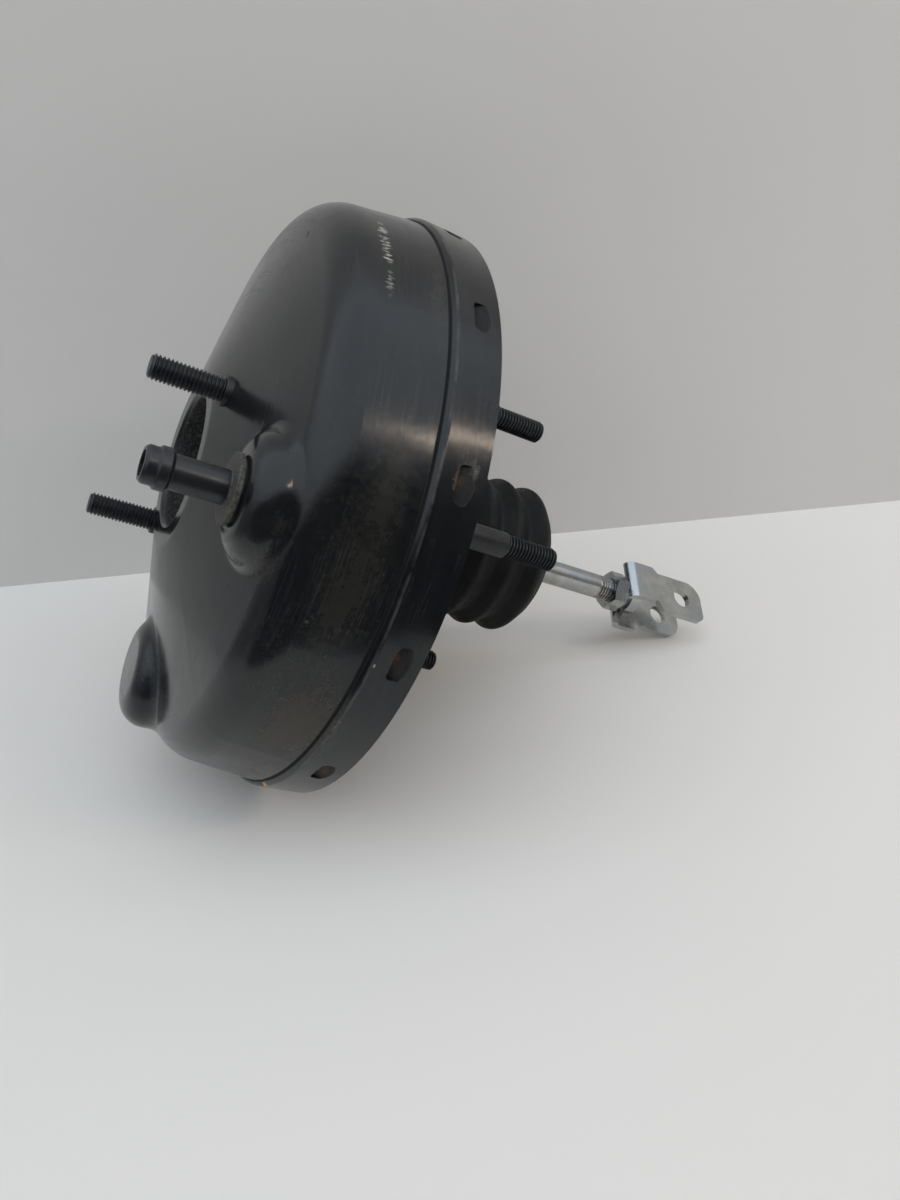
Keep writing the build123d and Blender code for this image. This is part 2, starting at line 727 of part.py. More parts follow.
# lock nut, bevelled on its boot side
nut_end_y = clevis_back_y - stack_gap
nut_half = nut_af / 2
nut_corner = nut_half + 1.4
nut_sketch = Plane(origin=(0, nut_y, 0), z_dir=(0, 1, 0)) * RegularPolygon(nut_half, 6, major_radius=False)
nut_body = extrude(nut_sketch, amount=nut_end_y - nut_y)
nut_cone = spin([
    (0, nut_y), (nut_half - 0.2, nut_y), (nut_corner, nut_y + nut_bevel), (nut_corner, nut_end_y), (0, nut_end_y),
])
lock_nut = (nut_body & nut_cone) - rod_y(rod_r + thread_gap, nut_y - 1, nut_end_y + 1)

# clevis: skewed strap, back plate plus two stepped ears
clevis_in = clevis_half - clevis_t - 1.2


def u_strap():
    half = clevis_half
    reach = clevis_tip_y + 5
    points = [
        (-half, reach), (-half, clevis_back_y, clevis_bend), (half, clevis_back_y, clevis_bend), (half, reach),
    ]
    inner = offset_points(points, clevis_t)
    edges = path_edges(points)
    edges.append(Line(points[-1][:2], inner[-1][:2]))
    edges += path_edges(list(reversed(inner)))
    edges.append(Line(inner[0][:2], points[0][:2]))
    return edges


strap_plane = Plane(origin=(0, 0, 0), x_dir=(0, 0, 1), z_dir=(-1, 0, 0))
strap = extrude(strap_plane * make_face(u_strap()), amount=16, both=True)
upper = Pos(0, 0, clevis_in) * extrude(make_face(Polyline(
    (-clevis_long, clevis_back_y - 1), (-clevis_long, clevis_step_y - 1.2),
    (-clevis_tip_half, clevis_step_y + 1.2), (-clevis_tip_half, clevis_tip_y),
    (clevis_tip_half, clevis_tip_y), (clevis_tip_half, clevis_step_y + 2.0),
    (clevis_short, clevis_step_y - 0.6), (clevis_short, clevis_back_y - 1), close=True)), amount=6)
big_corner = upper.edges().filter_by(Axis.Z).sort_by(lambda e: (e.center().Y, -e.center().X))[-1]
upper = fillet(big_corner, clevis_corner_r)
small_corner = upper.edges().filter_by(Axis.Z).filter_by(
    lambda e: e.center().X > clevis_tip_half - 0.1 and e.center().Y > clevis_tip_y - 0.1)
upper = fillet(small_corner, clevis_small_r)
lower = Rotation(0, 180, 0) * upper
back_prism = Plane(origin=(0, clevis_back_y - 1, 0), z_dir=(0, 1, 0)) * make_face(Polyline(
    (-clevis_long, -clevis_in), (clevis_short, -clevis_in), (clevis_long, clevis_in), (-clevis_short, clevis_in),
    close=True))
back_block = extrude(back_prism, amount=8)
clevis = strap & (upper + lower + back_block)
collar_end_y = clevis_back_end + clevis_collar_t
clevis = clevis + rod_y(rod_r + clevis_collar, clevis_back_end - 0.2, collar_end_y)
clevis = clevis - rod_y(rod_r + thread_gap, clevis_back_y - 1, collar_end_y + 1)
clevis = clevis - Pos(0, clevis_hole_y, 0) * Cylinder(clevis_hole_r, 2 * clevis_half + 4)

save(front_shell, "front_shell")
save(rear_shell, "rear_shell")
save(front_plate, "front_reinforcement_plate")
save(rear_plate, "rear_reinforcement_plate")
save(Compound(children=front_studs), "front_studs")
save(Compound(children=rear_studs), "rear_studs")
save(vacuum_port, "vacuum_port")
save(gasket, "port_gasket")
save(rear_seal, "rear_seal")
save(seal_retainer, "seal_retainer")
save(dust_boot, "dust_boot")
save(valve_body, "valve_body")
save(piston_plate, "diaphragm_plate")
save(diaphragm, "diaphragm")
save(return_spring, "return_spring")
save(reaction_disc, "reaction_disc")
save(output_rod, "output_rod")
save(rod_retainer, "output_rod_retainer")
save(valve_plunger, "valve_plunger")
save(poppet_valve, "poppet_valve")
save(poppet_spring, "poppet_spring")
save(poppet_retainer, "poppet_retainer")
save(rod_spring, "rod_return_spring")
save(air_filter, "air_filter")
save(filter_retainer, "filter_retainer")
save(stop_key, "stop_key")
save(push_rod, "push_rod")
save(spring_seat, "spring_seat")
save(lock_nut, "lock_nut")
save(clevis, "clevis")
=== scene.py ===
import math

import bmesh
import bpy
from mathutils import Matrix, Vector


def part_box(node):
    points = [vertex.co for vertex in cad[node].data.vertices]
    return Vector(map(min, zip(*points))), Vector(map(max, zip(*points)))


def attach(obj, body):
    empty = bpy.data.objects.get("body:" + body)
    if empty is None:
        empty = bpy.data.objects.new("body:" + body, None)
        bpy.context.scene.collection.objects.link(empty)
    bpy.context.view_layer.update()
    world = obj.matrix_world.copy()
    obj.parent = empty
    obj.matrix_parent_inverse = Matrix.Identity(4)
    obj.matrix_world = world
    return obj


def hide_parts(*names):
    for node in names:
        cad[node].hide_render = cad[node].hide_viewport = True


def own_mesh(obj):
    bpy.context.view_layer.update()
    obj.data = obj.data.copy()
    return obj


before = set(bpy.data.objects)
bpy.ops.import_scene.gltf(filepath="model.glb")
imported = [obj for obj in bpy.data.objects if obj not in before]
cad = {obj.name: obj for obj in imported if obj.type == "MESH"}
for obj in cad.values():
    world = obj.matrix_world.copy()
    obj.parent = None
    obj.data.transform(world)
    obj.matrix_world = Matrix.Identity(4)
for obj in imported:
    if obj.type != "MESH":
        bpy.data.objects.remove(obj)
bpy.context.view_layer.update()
print("frame loaded")


# node helpers: a socket takes a value, a colour or another node's output
def feed(tree, socket, value):
    if isinstance(value, bpy.types.NodeSocket):
        tree.links.new(value, socket)
    elif isinstance(value, tuple) and len(value) == 3 and len(socket.default_value) == 4:
        socket.default_value = (*value, 1)
    else:
        socket.default_value = value


def put(tree, kind, sockets=None, **settings):
    node = tree.nodes.new(kind)
    for name, value in settings.items():
        setattr(node, name, value)
    for socket, value in (sockets or {}).items():
        feed(tree, node.inputs[socket], value)
    return node


def sums(tree, operation, a, b=0.0, clamp=False):
    node = put(tree, "ShaderNodeMath", {0: a, 1: b}, operation=operation, use_clamp=clamp)
    return node.outputs[0]


def times(tree, product, *others):
    for other in others:
        product = sums(tree, "MULTIPLY", product, other)
    return product


def hypotenuse(tree, a, b):
    return sums(tree, "SQRT", sums(tree, "ADD", times(tree, a, a), times(tree, b, b)))


def vectorSum(tree, operation, a, b=(0, 0, 0)):
    node = put(tree, "ShaderNodeVectorMath", {0: a, 1: b}, operation=operation)
    return node.outputs["Value" if operation in ("LENGTH", "DOT_PRODUCT") else "Vector"]


def split(tree, place):
    return put(tree, "ShaderNodeSeparateXYZ", {0: place}).outputs


def mixColour(tree, amount, a, b):
    return put(tree, "ShaderNodeMix", {0: amount, 6: a, 7: b}, data_type="RGBA").outputs[2]


def mixValue(tree, amount, a, b):
    return put(tree, "ShaderNodeMix", {0: amount, 2: a, 3: b}, data_type="FLOAT").outputs[0]


def noise(tree, place, scale, detail=3.0, rough=0.55):
    return put(tree, "ShaderNodeTexNoise", {
        "Vector": place, "Scale": scale, "Detail": detail, "Roughness": rough}).outputs["Fac"]


def ramp(tree, value, low, high):
    return put(tree, "ShaderNodeMapRange", {"Value": value, "From Min": low, "From Max": high},
               interpolation_type="SMOOTHSTEP").outputs["Result"]


def cloud(tree, place, grain, edges):
    # a noise that is 0 below its first edge and 1 past its second
    return ramp(tree, noise(tree, place, *grain), *edges)


def brokenEdge(tree, away, place, grain, depth):
    # 1 at the middle, 0 where away is 1, with the edge between pushed about by a noise
    waver = sums(tree, "SUBTRACT", noise(tree, place, *grain), 0.5)
    return sums(tree, "ADD", sums(tree, "SUBTRACT", 1.0, away), times(tree, waver, depth))


def startMaterial(name):
    made = bpy.data.materials.new(name)
    made.use_nodes = True
    tree = made.node_tree
    place = put(tree, "ShaderNodeTexCoord").outputs["Object"]
    return made, tree, place, tree.nodes["Principled BSDF"]


def showEither(tree, amount, first, second):
    choose = put(tree, "ShaderNodeMixShader", {
        0: amount, 1: first.outputs[0], 2: second.outputs[0]})
    feed(tree, tree.nodes["Material Output"].inputs["Surface"], choose.outputs[0])


def addObject(name, data):
    thing = bpy.data.objects.new(name, data)
    bpy.context.scene.collection.objects.link(thing)
    return thing


def standing(place, x, y, z):
    # the matrix of a thing at a place, with its own axes along x, y and z
    return Matrix.Translation(Vector(place)) @ Matrix((x, y, z)).transposed().to_4x4()


# camera
camera = {
    "place": (0.21427, -0.14077, 0.26692),
    "forward": (-0.51524, 0.44521, -0.73234),
    "right": (0.03042, 0.86345, 0.50351),
    "lens": 29.597,
    "sensor": 36.0,
    "clip": (0.01, 20.0),
}


def addCamera(values):
    back = -Vector(values["forward"]).normalized()
    right = Vector(values["right"])
    right = (right - right.dot(back) * back).normalized()
    up = back.cross(right)
    data = bpy.data.cameras.new("viewCamera")
    data.sensor_fit = "VERTICAL"
    data.sensor_height = values["sensor"]
    data.lens = values["lens"]
    data.clip_start, data.clip_end = values["clip"]
    thing = addObject("viewCamera", data)
    thing.matrix_world = standing(values["place"], right, up, back)
    bpy.context.scene.camera = thing
    return right, up, -back


right, up, forward = addCamera(camera)

# floor, wall and light; lengths in metres, angles in degrees
# the booster lies on the skirt's edge and the clevis, so its frame leans against the floor
room = {
    "pitch": 28.3,
    "roll": 5.5,
    "drop": 0.0789,
    "wallAhead": 0.487,
    "sheetHalf": (3.0, 1.5),
    "sheetRough": 0.85,
    "sheetGrain": (5.0, 4.0, 0.5),
    "sheetDrift": 0.03,
    "floorColour": (0.875, 0.84, 0.795),
    "wallColour": (0.665, 0.645, 0.62),
    "floorFade": (0.25, 0.90),
    "wallFade": (0.30, 1.00),
    "skyColour": (0.91, 1.0, 1.09),
    "sideGain": (0.96, 1.04),
    "skyStrength": 1.30,
    "dimColour": (0.17, 0.17, 0.175),
    "dimBelow": 8.0,
    "brightAbove": 52.0,
    "windowSize": (0.58, 0.07),
    "windowPower": 2.0,
    "windowColour": (1.0, 0.82, 0.66),
    "windowAzimuth": 121.0,
    "windowHeight": 31.3,
    "windowTilt": 29.0,
    "windowDistance": 1.3,
    "cardAhead": 0.10,
    "cardSide": -0.08,
    "cardMiddle": 0.10,
    "cardHalf": (0.36, 0.18),
    "cardSoft": 0.55,
    "cardColour": (0.04, 0.042, 0.048),
}


def roomAxes(values):
    pitch, roll = math.radians(values["pitch"]), math.radians(values["roll"])
    level = up * math.cos(roll) - right * math.sin(roll)
    normal = (level * math.cos(pitch) - forward * math.sin(pitch)).normalized()
    ahead = (forward - forward.dot(normal) * normal).normalized()
    return normal, ahead, ahead.cross(normal).normalized()


floorUp, ahead, side = roomAxes(room)


def sheetMaterial(name, colour, fade):
    made, tree, place, shader = startMaterial(name)
    feed(tree, shader.inputs["Roughness"], room["sheetRough"])
    feed(tree, shader.inputs["Specular IOR Level"], 0.0)
    darker = tuple(c * (1 - room["sheetDrift"]) for c in colour)
    lighter = tuple(min(1.0, c * (1 + room["sheetDrift"])) for c in colour)
    grain = noise(tree, place, *room["sheetGrain"])
    feed(tree, shader.inputs["Base Color"], mixColour(tree, grain, darker, lighter))
    # reflections lose the sheet with distance, so that its edges are never seen in the paint
    path = put(tree, "ShaderNodeLightPath").outputs
    far = ramp(tree, vectorSum(tree, "LENGTH", place), *fade)
    faded = times(tree, far, path["Is Glossy Ray"])
    # seen from behind, the floor and wall let the camera through
    behind = put(tree, "ShaderNodeNewGeometry").outputs["Backfacing"]
    hidden = sums(tree, "ADD", times(tree, behind, path["Is Camera Ray"]), faded)
    showEither(tree, hidden, shader, put(tree, "ShaderNodeBsdfTransparent"))
    return made


def cardMaterial(middle, halves):
    # a dark card with soft edges that only reflections see
    made, tree, place, shader = startMaterial("darkCard")
    tree.nodes.remove(shader)
    seen = put(tree, "ShaderNodeLightPath").outputs["Is Glossy Ray"]
    for way, half in zip((side, floorUp), halves):
        along = vectorSum(tree, "DOT_PRODUCT", place, way)
        off = sums(tree, "ABSOLUTE", sums(tree, "SUBTRACT", along, middle.dot(way)))
        seen = times(tree, seen, ramp(tree, off, half, half * room["cardSoft"]))
    glow = put(tree, "ShaderNodeEmission", {"Color": room["cardColour"]})
    showEither(tree, seen, put(tree, "ShaderNodeBsdfTransparent"), glow)
    return made


def addPanel(name, centre, a, b, finish):
    mesh = bpy.data.meshes.new(name)
    corners = [centre - a - b, centre + a - b, centre + a + b, centre - a + b]
    mesh.from_pydata([tuple(c) for c in corners], [], [(0, 1, 2, 3)])
    mesh.materials.append(finish)
    addObject(name, mesh)


def addSheets(values):
    foot = Vector(camera["place"])
    foot = foot - (foot.dot(floorUp) + values["drop"]) * floorUp
    corner = foot + ahead * values["wallAhead"]
    wide, deep = side * values["sheetHalf"][0], values["sheetHalf"][1]
    addPanel("floor", corner - ahead * deep, wide, ahead * deep,
             sheetMaterial("floorPaper", values["floorColour"], values["floorFade"]))
    addPanel("wall", corner + floorUp * deep, wide, floorUp * deep,
             sheetMaterial("wallBoard", values["wallColour"], values["wallFade"]))
    card = foot + ahead * values["cardAhead"] + side * values["cardSide"]
    card = card + floorUp * values["cardMiddle"]
    addPanel("card", card, side * values["cardHalf"][0], floorUp * values["cardHalf"][1],
             cardMaterial(card, values["cardHalf"]))


def addSky(values):
    # an even pale sky over a dim horizon, a little brighter to one side
    world = bpy.data.worlds.new("room")
    world.use_nodes = True
    tree = world.node_tree
    place = put(tree, "ShaderNodeTexCoord").outputs["Generated"]
    edges = [math.sin(math.radians(values[key])) for key in ("dimBelow", "brightAbove")]
    height = ramp(tree, vectorSum(tree, "DOT_PRODUCT", place, floorUp), *edges)
    gain = put(tree, "ShaderNodeMapRange", {
        "Value": vectorSum(tree, "DOT_PRODUCT", place, side), "From Min": -1.0,
        "To Min": values["sideGain"][0] * values["skyStrength"],
        "To Max": values["sideGain"][1] * values["skyStrength"]})
    back = tree.nodes["Background"]
    feed(tree, back.inputs["Color"],
         mixColour(tree, height, values["dimColour"], values["skyColour"]))
    feed(tree, back.inputs["Strength"], gain.outputs["Result"])
    bpy.context.scene.world = world
    bpy.context.scene.view_settings.view_transform = "Standard"


def addWindow(values):
    lamp = bpy.data.lights.new("window", "AREA")
    lamp.energy = values["windowPower"]
    lamp.shape = "RECTANGLE"
    lamp.size, lamp.size_y = values["windowSize"]
    lamp.color = values["windowColour"]
    around, above, tilt = (math.radians(values[key])
                           for key in ("windowAzimuth", "windowHeight", "windowTilt"))
    level = ahead * math.cos(around) + side * math.sin(around)
    toward = level * math.cos(above) + floorUp * math.sin(above)
    sideways = side * math.cos(around) - ahead * math.sin(around)
    upright = floorUp * math.cos(above) - level * math.sin(above)
    longWay = sideways * math.cos(tilt) + upright * math.sin(tilt)
    window = addObject("window", lamp)
    window.matrix_world = standing(
        toward * values["windowDistance"], longWay, toward.cross(longWay), toward)


addSheets(room)
addSky(room)
addWindow(room)
print("camera, room and light placed")


# shader groups
def newGroup(name, inputs, outputs):
    tree = bpy.data.node_groups.new(name, "ShaderNodeTree")
    for label in inputs:
        kind = "NodeSocketVector" if label in ("Place", "Centre", "Size") else "NodeSocketFloat"
        tree.interface.new_socket(label, in_out="INPUT", socket_type=kind)
    for label in outputs:
        tree.interface.new_socket(label, in_out="OUTPUT", socket_type="NodeSocketFloat")
    into, out = put(tree, "NodeGroupInput"), put(tree, "NodeGroupOutput")
    return tree, [into.outputs[label] for label in inputs], out.inputs


# noises are scale, detail and roughness; edges are where a mask starts and where it is full
groupValues = {
    "swirlFine": (1.0, 4.0, 0.65), "swirlBroad": ((22.0, 3.0), (0.35, 0.7)), "swirlCover": 0.6,
    "swirlFull": 0.78, "patchGrain": (3.0, 0.55), "speckFine": (2.0, 0.7), "speckBroad": (4.0, 0.6),
    "speckShares": (0.55, 0.6), "speckGate": 0.95, "speckCover": 0.5, "speckSoft": 0.2,
}


def swirlGroup(values):
    # marks that run round the booster's axis, as a cloth or a brush leaves them
    tree, (place, along, across, coverage), out = newGroup(
        "swirlMarks", ("Place", "Along", "Across", "Coverage"), ("Mask", "Height"))
    x, y, z = split(tree, place)
    radius = hypotenuse(tree, x, z)
    spread = put(tree, "ShaderNodeCombineXYZ", {
        0: times(tree, sums(tree, "DIVIDE", x, radius), along),
        1: times(tree, sums(tree, "DIVIDE", z, radius), along),
        2: times(tree, sums(tree, "ADD", radius, y), across)})
    fine = noise(tree, spread.outputs[0], *values["swirlFine"])
    level = sums(tree, "SUBTRACT", 1.0, times(tree, coverage, values["swirlCover"]))
    seen = times(tree, ramp(tree, fine, level, values["swirlFull"]),
                 cloud(tree, place, *values["swirlBroad"]))
    feed(tree, out["Mask"], seen)
    feed(tree, out["Height"], fine)
    return tree


def patchGroup(values):
    # one broken-edged patch of dust, rust or bare metal round a place
    tree, (place, centre, size, grain, broken, softness), out = newGroup(
        "patch", ("Place", "Centre", "Size", "Grain", "Broken", "Softness"), ("Mask",))
    scaled = vectorSum(tree, "DIVIDE", vectorSum(tree, "SUBTRACT", place, centre), size)
    edge = brokenEdge(tree, vectorSum(tree, "LENGTH", scaled), place,
                      (grain, *values["patchGrain"]), broken)
    feed(tree, out["Mask"], sums(tree, "DIVIDE", edge, softness, clamp=True))
    return tree


def speckGroup(values):
    # fine dirt specks that gather in blotches
    tree, (place, grain, blotch, amount), out = newGroup(
        "specks", ("Place", "Grain", "Blotch", "Amount"), ("Mask",))
    fine = noise(tree, place, grain, *values["speckFine"])
    broad = noise(tree, place, blotch, *values["speckBroad"])
    fineShare, broadShare = values["speckShares"]
    both = sums(tree, "ADD", times(tree, fine, fineShare), times(tree, broad, broadShare))
    gate = sums(tree, "SUBTRACT", values["speckGate"], times(tree, amount, values["speckCover"]))
    start = sums(tree, "SUBTRACT", gate, values["speckSoft"])
    feed(tree, out["Mask"], ramp(tree, both, start, gate))
    return tree


swirl, patch, specks = (make(groupValues) for make in (swirlGroup, patchGroup, speckGroup))


def useGroup(tree, group, place, values):
    node = put(tree, "ShaderNodeGroup", {"Place": place, **values}, node_tree=group)
    return node.outputs


def bump(tree, shader, height, strength, distance):
    node = put(tree, "ShaderNodeBump", {
        "Strength": strength, "Distance": distance, "Height": height})
    feed(tree, shader.inputs["Normal"], node.outputs[0])


# paint of the two shells; noises and edges as above, shares from 0 to 1
paint = {
    "colour": (0.0040, 0.0049, 0.0064),
    "worn": (0.0078, 0.0092, 0.0110),
    "wear": ((16.0, 4.0, 0.6), (0.35, 0.7)),
    "scratch": (0.050, 0.052, 0.053),
    "dust": (0.0305, 0.0285, 0.0190),
    "film": (0.052, 0.046, 0.029),
    "brown": (0.058, 0.037, 0.017),
    "haze": (0.046, 0.053, 0.060),
    "lance": (0.090, 0.041, 0.014),
    "lanceEdge": (0.026, 0.020, 0.014),
    "rust": (0.105, 0.050, 0.022),
    "chip": (0.30, 0.29, 0.25),
    "cream": (0.36, 0.345, 0.295),
    "yellow": (0.62, 0.42, 0.16),
    "bare": (0.17, 0.165, 0.15),
    "gloss": (0.15, 0.24),
    "glossPatches": ((34.0, 5.0, 0.6), (0.4, 0.75)),
    "dull": 0.58,
    "specular": 0.42,
    "swirls": {"Along": 4.0, "Across": 1300.0, "Coverage": 0.95},
    "swirlColour": 0.34,
    "swirlDull": 0.6,
    "swirlRough": 0.40,
    "specks": {"Grain": 700.0, "Blotch": 30.0, "Amount": 0.44},
    "speckColour": 0.13,
    "waves": (55.0, 3.0),
    "hairDepth": 0.085,
    "bump": (0.35, 0.00035),
}
# place, size, grain, broken, softness, colour, strength; metres
frontMarks = [
    ((0.0580, -0.0460, 0.0810), (0.0240, 0.0085, 0.0220), 240.0, 1.6, 1.8, "dust", 0.62),
    ((0.0790, -0.0480, 0.0600), (0.0200, 0.0085, 0.0200), 210.0, 1.6, 1.8, "dust", 0.62),
    ((0.0700, -0.0470, 0.0690), (0.0340, 0.0140, 0.0340), 520.0, 2.6, 3.0, "film", 0.50),
    ((0.0970, -0.0460, 0.0160), (0.0220, 0.0130, 0.0300), 180.0, 1.7, 1.8, "dust", 0.45),
    ((0.0960, -0.0420, 0.0200), (0.0180, 0.0110, 0.0220), 400.0, 2.2, 1.8, "brown", 0.80),
    ((0.0970, -0.0430, -0.0200), (0.0140, 0.0100, 0.0180), 340.0, 2.0, 1.8, "brown", 0.55),
    ((-0.0080, -0.0392, 0.1000), (0.0240, 0.0032, 0.0080), 420.0, 1.8, 1.5, "film", 0.55),
    ((-0.0040, -0.0325, 0.1020), (0.0100, 0.0024, 0.0060), 420.0, 2.2, 1.6, "bare", 0.12),
    ((0.0600, -0.0720, -0.0400), (0.0110, 0.0140, 0.0230), 500.0, 0.9, 1.3, "haze", 0.55),
    ((0.0680, -0.0710, 0.0530), (0.0090, 0.0100, 0.0150), 420.0, 2.0, 2.0, "dust", 0.50),
    ((0.0700, -0.0685, 0.0540), (0.0030, 0.0032, 0.0075), 900.0, 2.6, 1.6, "film", 0.35),
    ((0.0640, -0.0690, 0.0660), (0.0050, 0.0030, 0.0040), 900.0, 2.6, 1.6, "film", 0.30),
    ((0.0640, -0.0760, 0.0450), (0.0060, 0.0040, 0.0050), 700.0, 2.4, 1.8, "brown", 0.60),
    ((-0.0431, -0.0692, 0.0718), (0.0016, 0.0016, 0.0009), 900.0, 0.8, 0.5, "rust", 0.8),
    ((0.0588, -0.0756, 0.0696), (0.0005, 0.0005, 0.0011), 1500.0, 1.2, 0.4, "chip", 0.7),
    ((0.0824, -0.0551, 0.0521), (0.0004, 0.0007, 0.0007), 2200.0, 2.0, 0.7, "chip", 0.14),
    ((0.0893, -0.0336, 0.0492), (0.0004, 0.0005, 0.0012), 2200.0, 1.6, 0.5, "chip", 0.7),
    ((0.0490, -0.0262, 0.0892), (0.0062, 0.0036, 0.0040), 700.0, 3.4, 1.6, "lanceEdge", 0.75),
    ((0.0505, -0.0285, 0.0885), (0.0050, 0.0016, 0.0030), 900.0, 2.6, 1.0, "lance", 0.95),
    ((0.0470, -0.0240, 0.0905), (0.0026, 0.0015, 0.0020), 1200.0, 2.2, 1.0, "bare", 0.45),
    ((0.0883, -0.0262, 0.0510), (0.0034, 0.0034, 0.0056), 700.0, 3.0, 1.4, "lanceEdge", 0.75),
    ((0.0870, -0.0280, 0.0530), (0.0026, 0.0016, 0.0034), 900.0, 2.4, 0.9, "lance", 0.80),
    ((0.0000, -0.0262, 0.1020), (0.0058, 0.0034, 0.0030), 700.0, 3.0, 1.6, "lanceEdge", 0.55),
    ((0.0976, -0.0346, -0.0286), (0.0016, 0.0014, 0.0016), 900.0, 0.8, 0.4, "yellow", 0.9),
    ((0.0972, -0.0372, -0.0262), (0.0009, 0.0026, 0.0010), 900.0, 1.2, 0.5, "yellow", 0.7),
]
rearMarks = [
    ((0.000, -0.012, -0.085), (0.060, 0.012, 0.020), 140.0, 2.4, 1.0, "dust", 0.6),
    ((0.060, -0.020, 0.070), (0.030, 0.010, 0.030), 140.0, 2.4, 1.0, "dust", 0.5),
    ((-0.075, -0.015, -0.030), (0.020, 0.012, 0.030), 260.0, 2.6, 0.9, "rust", 0.3),
]
lances = {
    "count": 12, "skirt": 0.102, "middle": -0.0262, "length": 0.0074, "width": 0.0036,
    "whose": ((26.0, 1.0), (0.38, 0.62)), "grain": (700.0, 5.0, 0.65), "broken": 1.6,
    "core": (0.55, 0.15), "edgeShare": 0.55, "coreShare": 0.6,
    "pocket": (0.86, 0.70), "pocketRough": 0.75,
}
scrape = {
    "middle": -0.0536, "width": (-0.0006, 0.0018), "soft": (0.0004, -0.0006),
    "stretch": (950.0, 160.0, 500.0), "hatch": ((1.0, 3.0, 0.6), (0.36, 0.62)),
    "long": ((-0.046, -0.028), (-0.0115, -0.0150)),
    "short": ((-0.0105, -0.0060), (0.0030, -0.0030)), "shortShare": 0.7, "tipWidth": 0.3,
    "gaps": ((420.0, 4.0, 0.7), (0.28, 0.58)), "onTop": (0.05, 0.08),
}
# the groove's colour is painted shade along the step's crease
seam = {
    "groove": -0.0361, "grooveEdges": (0.0007, 0.0002), "grooveShade": (0.0015, 0.0016, 0.0017),
    "grooveRough": 0.9, "rim": -0.0343, "rimEdges": (0.0006, 0.0001),
    "rimPatches": ((120.0, 4.0), (0.35, 0.6)), "rimShare": 0.22,
}
neck = {
    "radius": (0.0241, 0.0229), "front": (-0.0814, -0.0802), "grit": (900.0, 5.0, 0.7),
    "gritEdges": (0.40, 0.75), "dirt": (0.012, 0.012, 0.012), "bare": (0.085, 0.085, 0.078),
    "rough": 0.75, "gritDepth": 0.8,
}


def awayFrom(tree, value, middle):
    return sums(tree, "ABSOLUTE", sums(tree, "SUBTRACT", value, middle))


def rustLances(tree, place, colour, shine):
    x, y, z = split(tree, place)
    turn = times(tree, sums(tree, "ARCTAN2", z, x), lances["count"] / (2 * math.pi))
    share = sums(tree, "SUBTRACT", turn, sums(tree, "ROUND", turn))
    spacing = 2 * math.pi * lances["skirt"] / lances["count"]
    along = times(tree, share, spacing / lances["length"])
    over = sums(tree, "DIVIDE", sums(tree, "SUBTRACT", y, lances["middle"]), lances["width"])
    away = hypotenuse(tree, along, over)
    edge = brokenEdge(tree, away, place, lances["grain"], lances["broken"])
    # each lance rusts to its own degree
    stain = sums(tree, "MULTIPLY", edge, cloud(tree, place, *lances["whose"]), clamp=True)
    core = times(tree, ramp(tree, away, *lances["core"]), stain, lances["coreShare"])
    colour = mixColour(tree, times(tree, stain, lances["edgeShare"]), colour, paint["lanceEdge"])
    colour = mixColour(tree, core, colour, paint["lance"])
    pocket = ramp(tree, away, *lances["pocket"])
    return colour, mixValue(tree, pocket, shine, lances["pocketRough"])


def scrapeWall(tree, place, colour):
    # a scrape line on the wall, cream where the paint is gone, cross-hatched and broken
    x, y, z = split(tree, place)
    longOne, shortOne = (times(tree, *(ramp(tree, x, *edges) for edges in scrape[key]))
                         for key in ("long", "short"))
    reach = sums(tree, "ADD", longOne, times(tree, shortOne, scrape["shortShare"]))
    stretched = vectorSum(tree, "MULTIPLY", place, scrape["stretch"])
    width = times(tree, mixValue(tree, cloud(tree, stretched, *scrape["hatch"]), *scrape["width"]),
                  mixValue(tree, reach, scrape["tipWidth"], 1.0))
    off = sums(tree, "SUBTRACT", awayFrom(tree, y, scrape["middle"]), width)
    line = times(tree, ramp(tree, off, *scrape["soft"]), cloud(tree, place, *scrape["gaps"]),
                 reach, ramp(tree, z, *scrape["onTop"]))
    return mixColour(tree, line, colour, paint["cream"])


def darkenSeam(tree, place, colour, shine):
    # the step before the skirt gets a painted shade line, and the edge behind it is rubbed here and
    # there
    y = split(tree, place)[1]
    groove = ramp(tree, awayFrom(tree, y, seam["groove"]), *seam["grooveEdges"])
    colour = mixColour(tree, groove, colour, seam["grooveShade"])
    shine = mixValue(tree, groove, shine, seam["grooveRough"])
    rim = ramp(tree, awayFrom(tree, y, seam["rim"]), *seam["rimEdges"])
    rim = times(tree, rim, cloud(tree, place, *seam["rimPatches"]), seam["rimShare"])
    return mixColour(tree, rim, colour, paint["bare"]), shine


def dirtyNeck(tree, place, colour, shine, height):
    # the re-entrant neck is dirty and half bare
    x, y, z = split(tree, place)
    inside = times(tree, ramp(tree, hypotenuse(tree, x, z), *neck["radius"]),
                   ramp(tree, y, *neck["front"]))
    grit = noise(tree, place, *neck["grit"])
    dirt = mixColour(tree, ramp(tree, grit, *neck["gritEdges"]), neck["dirt"], neck["bare"])
    lift = times(tree, grit, inside, neck["gritDepth"])
    return (mixColour(tree, inside, colour, dirt), mixValue(tree, inside, shine, neck["rough"]),
            sums(tree, "ADD", height, lift))


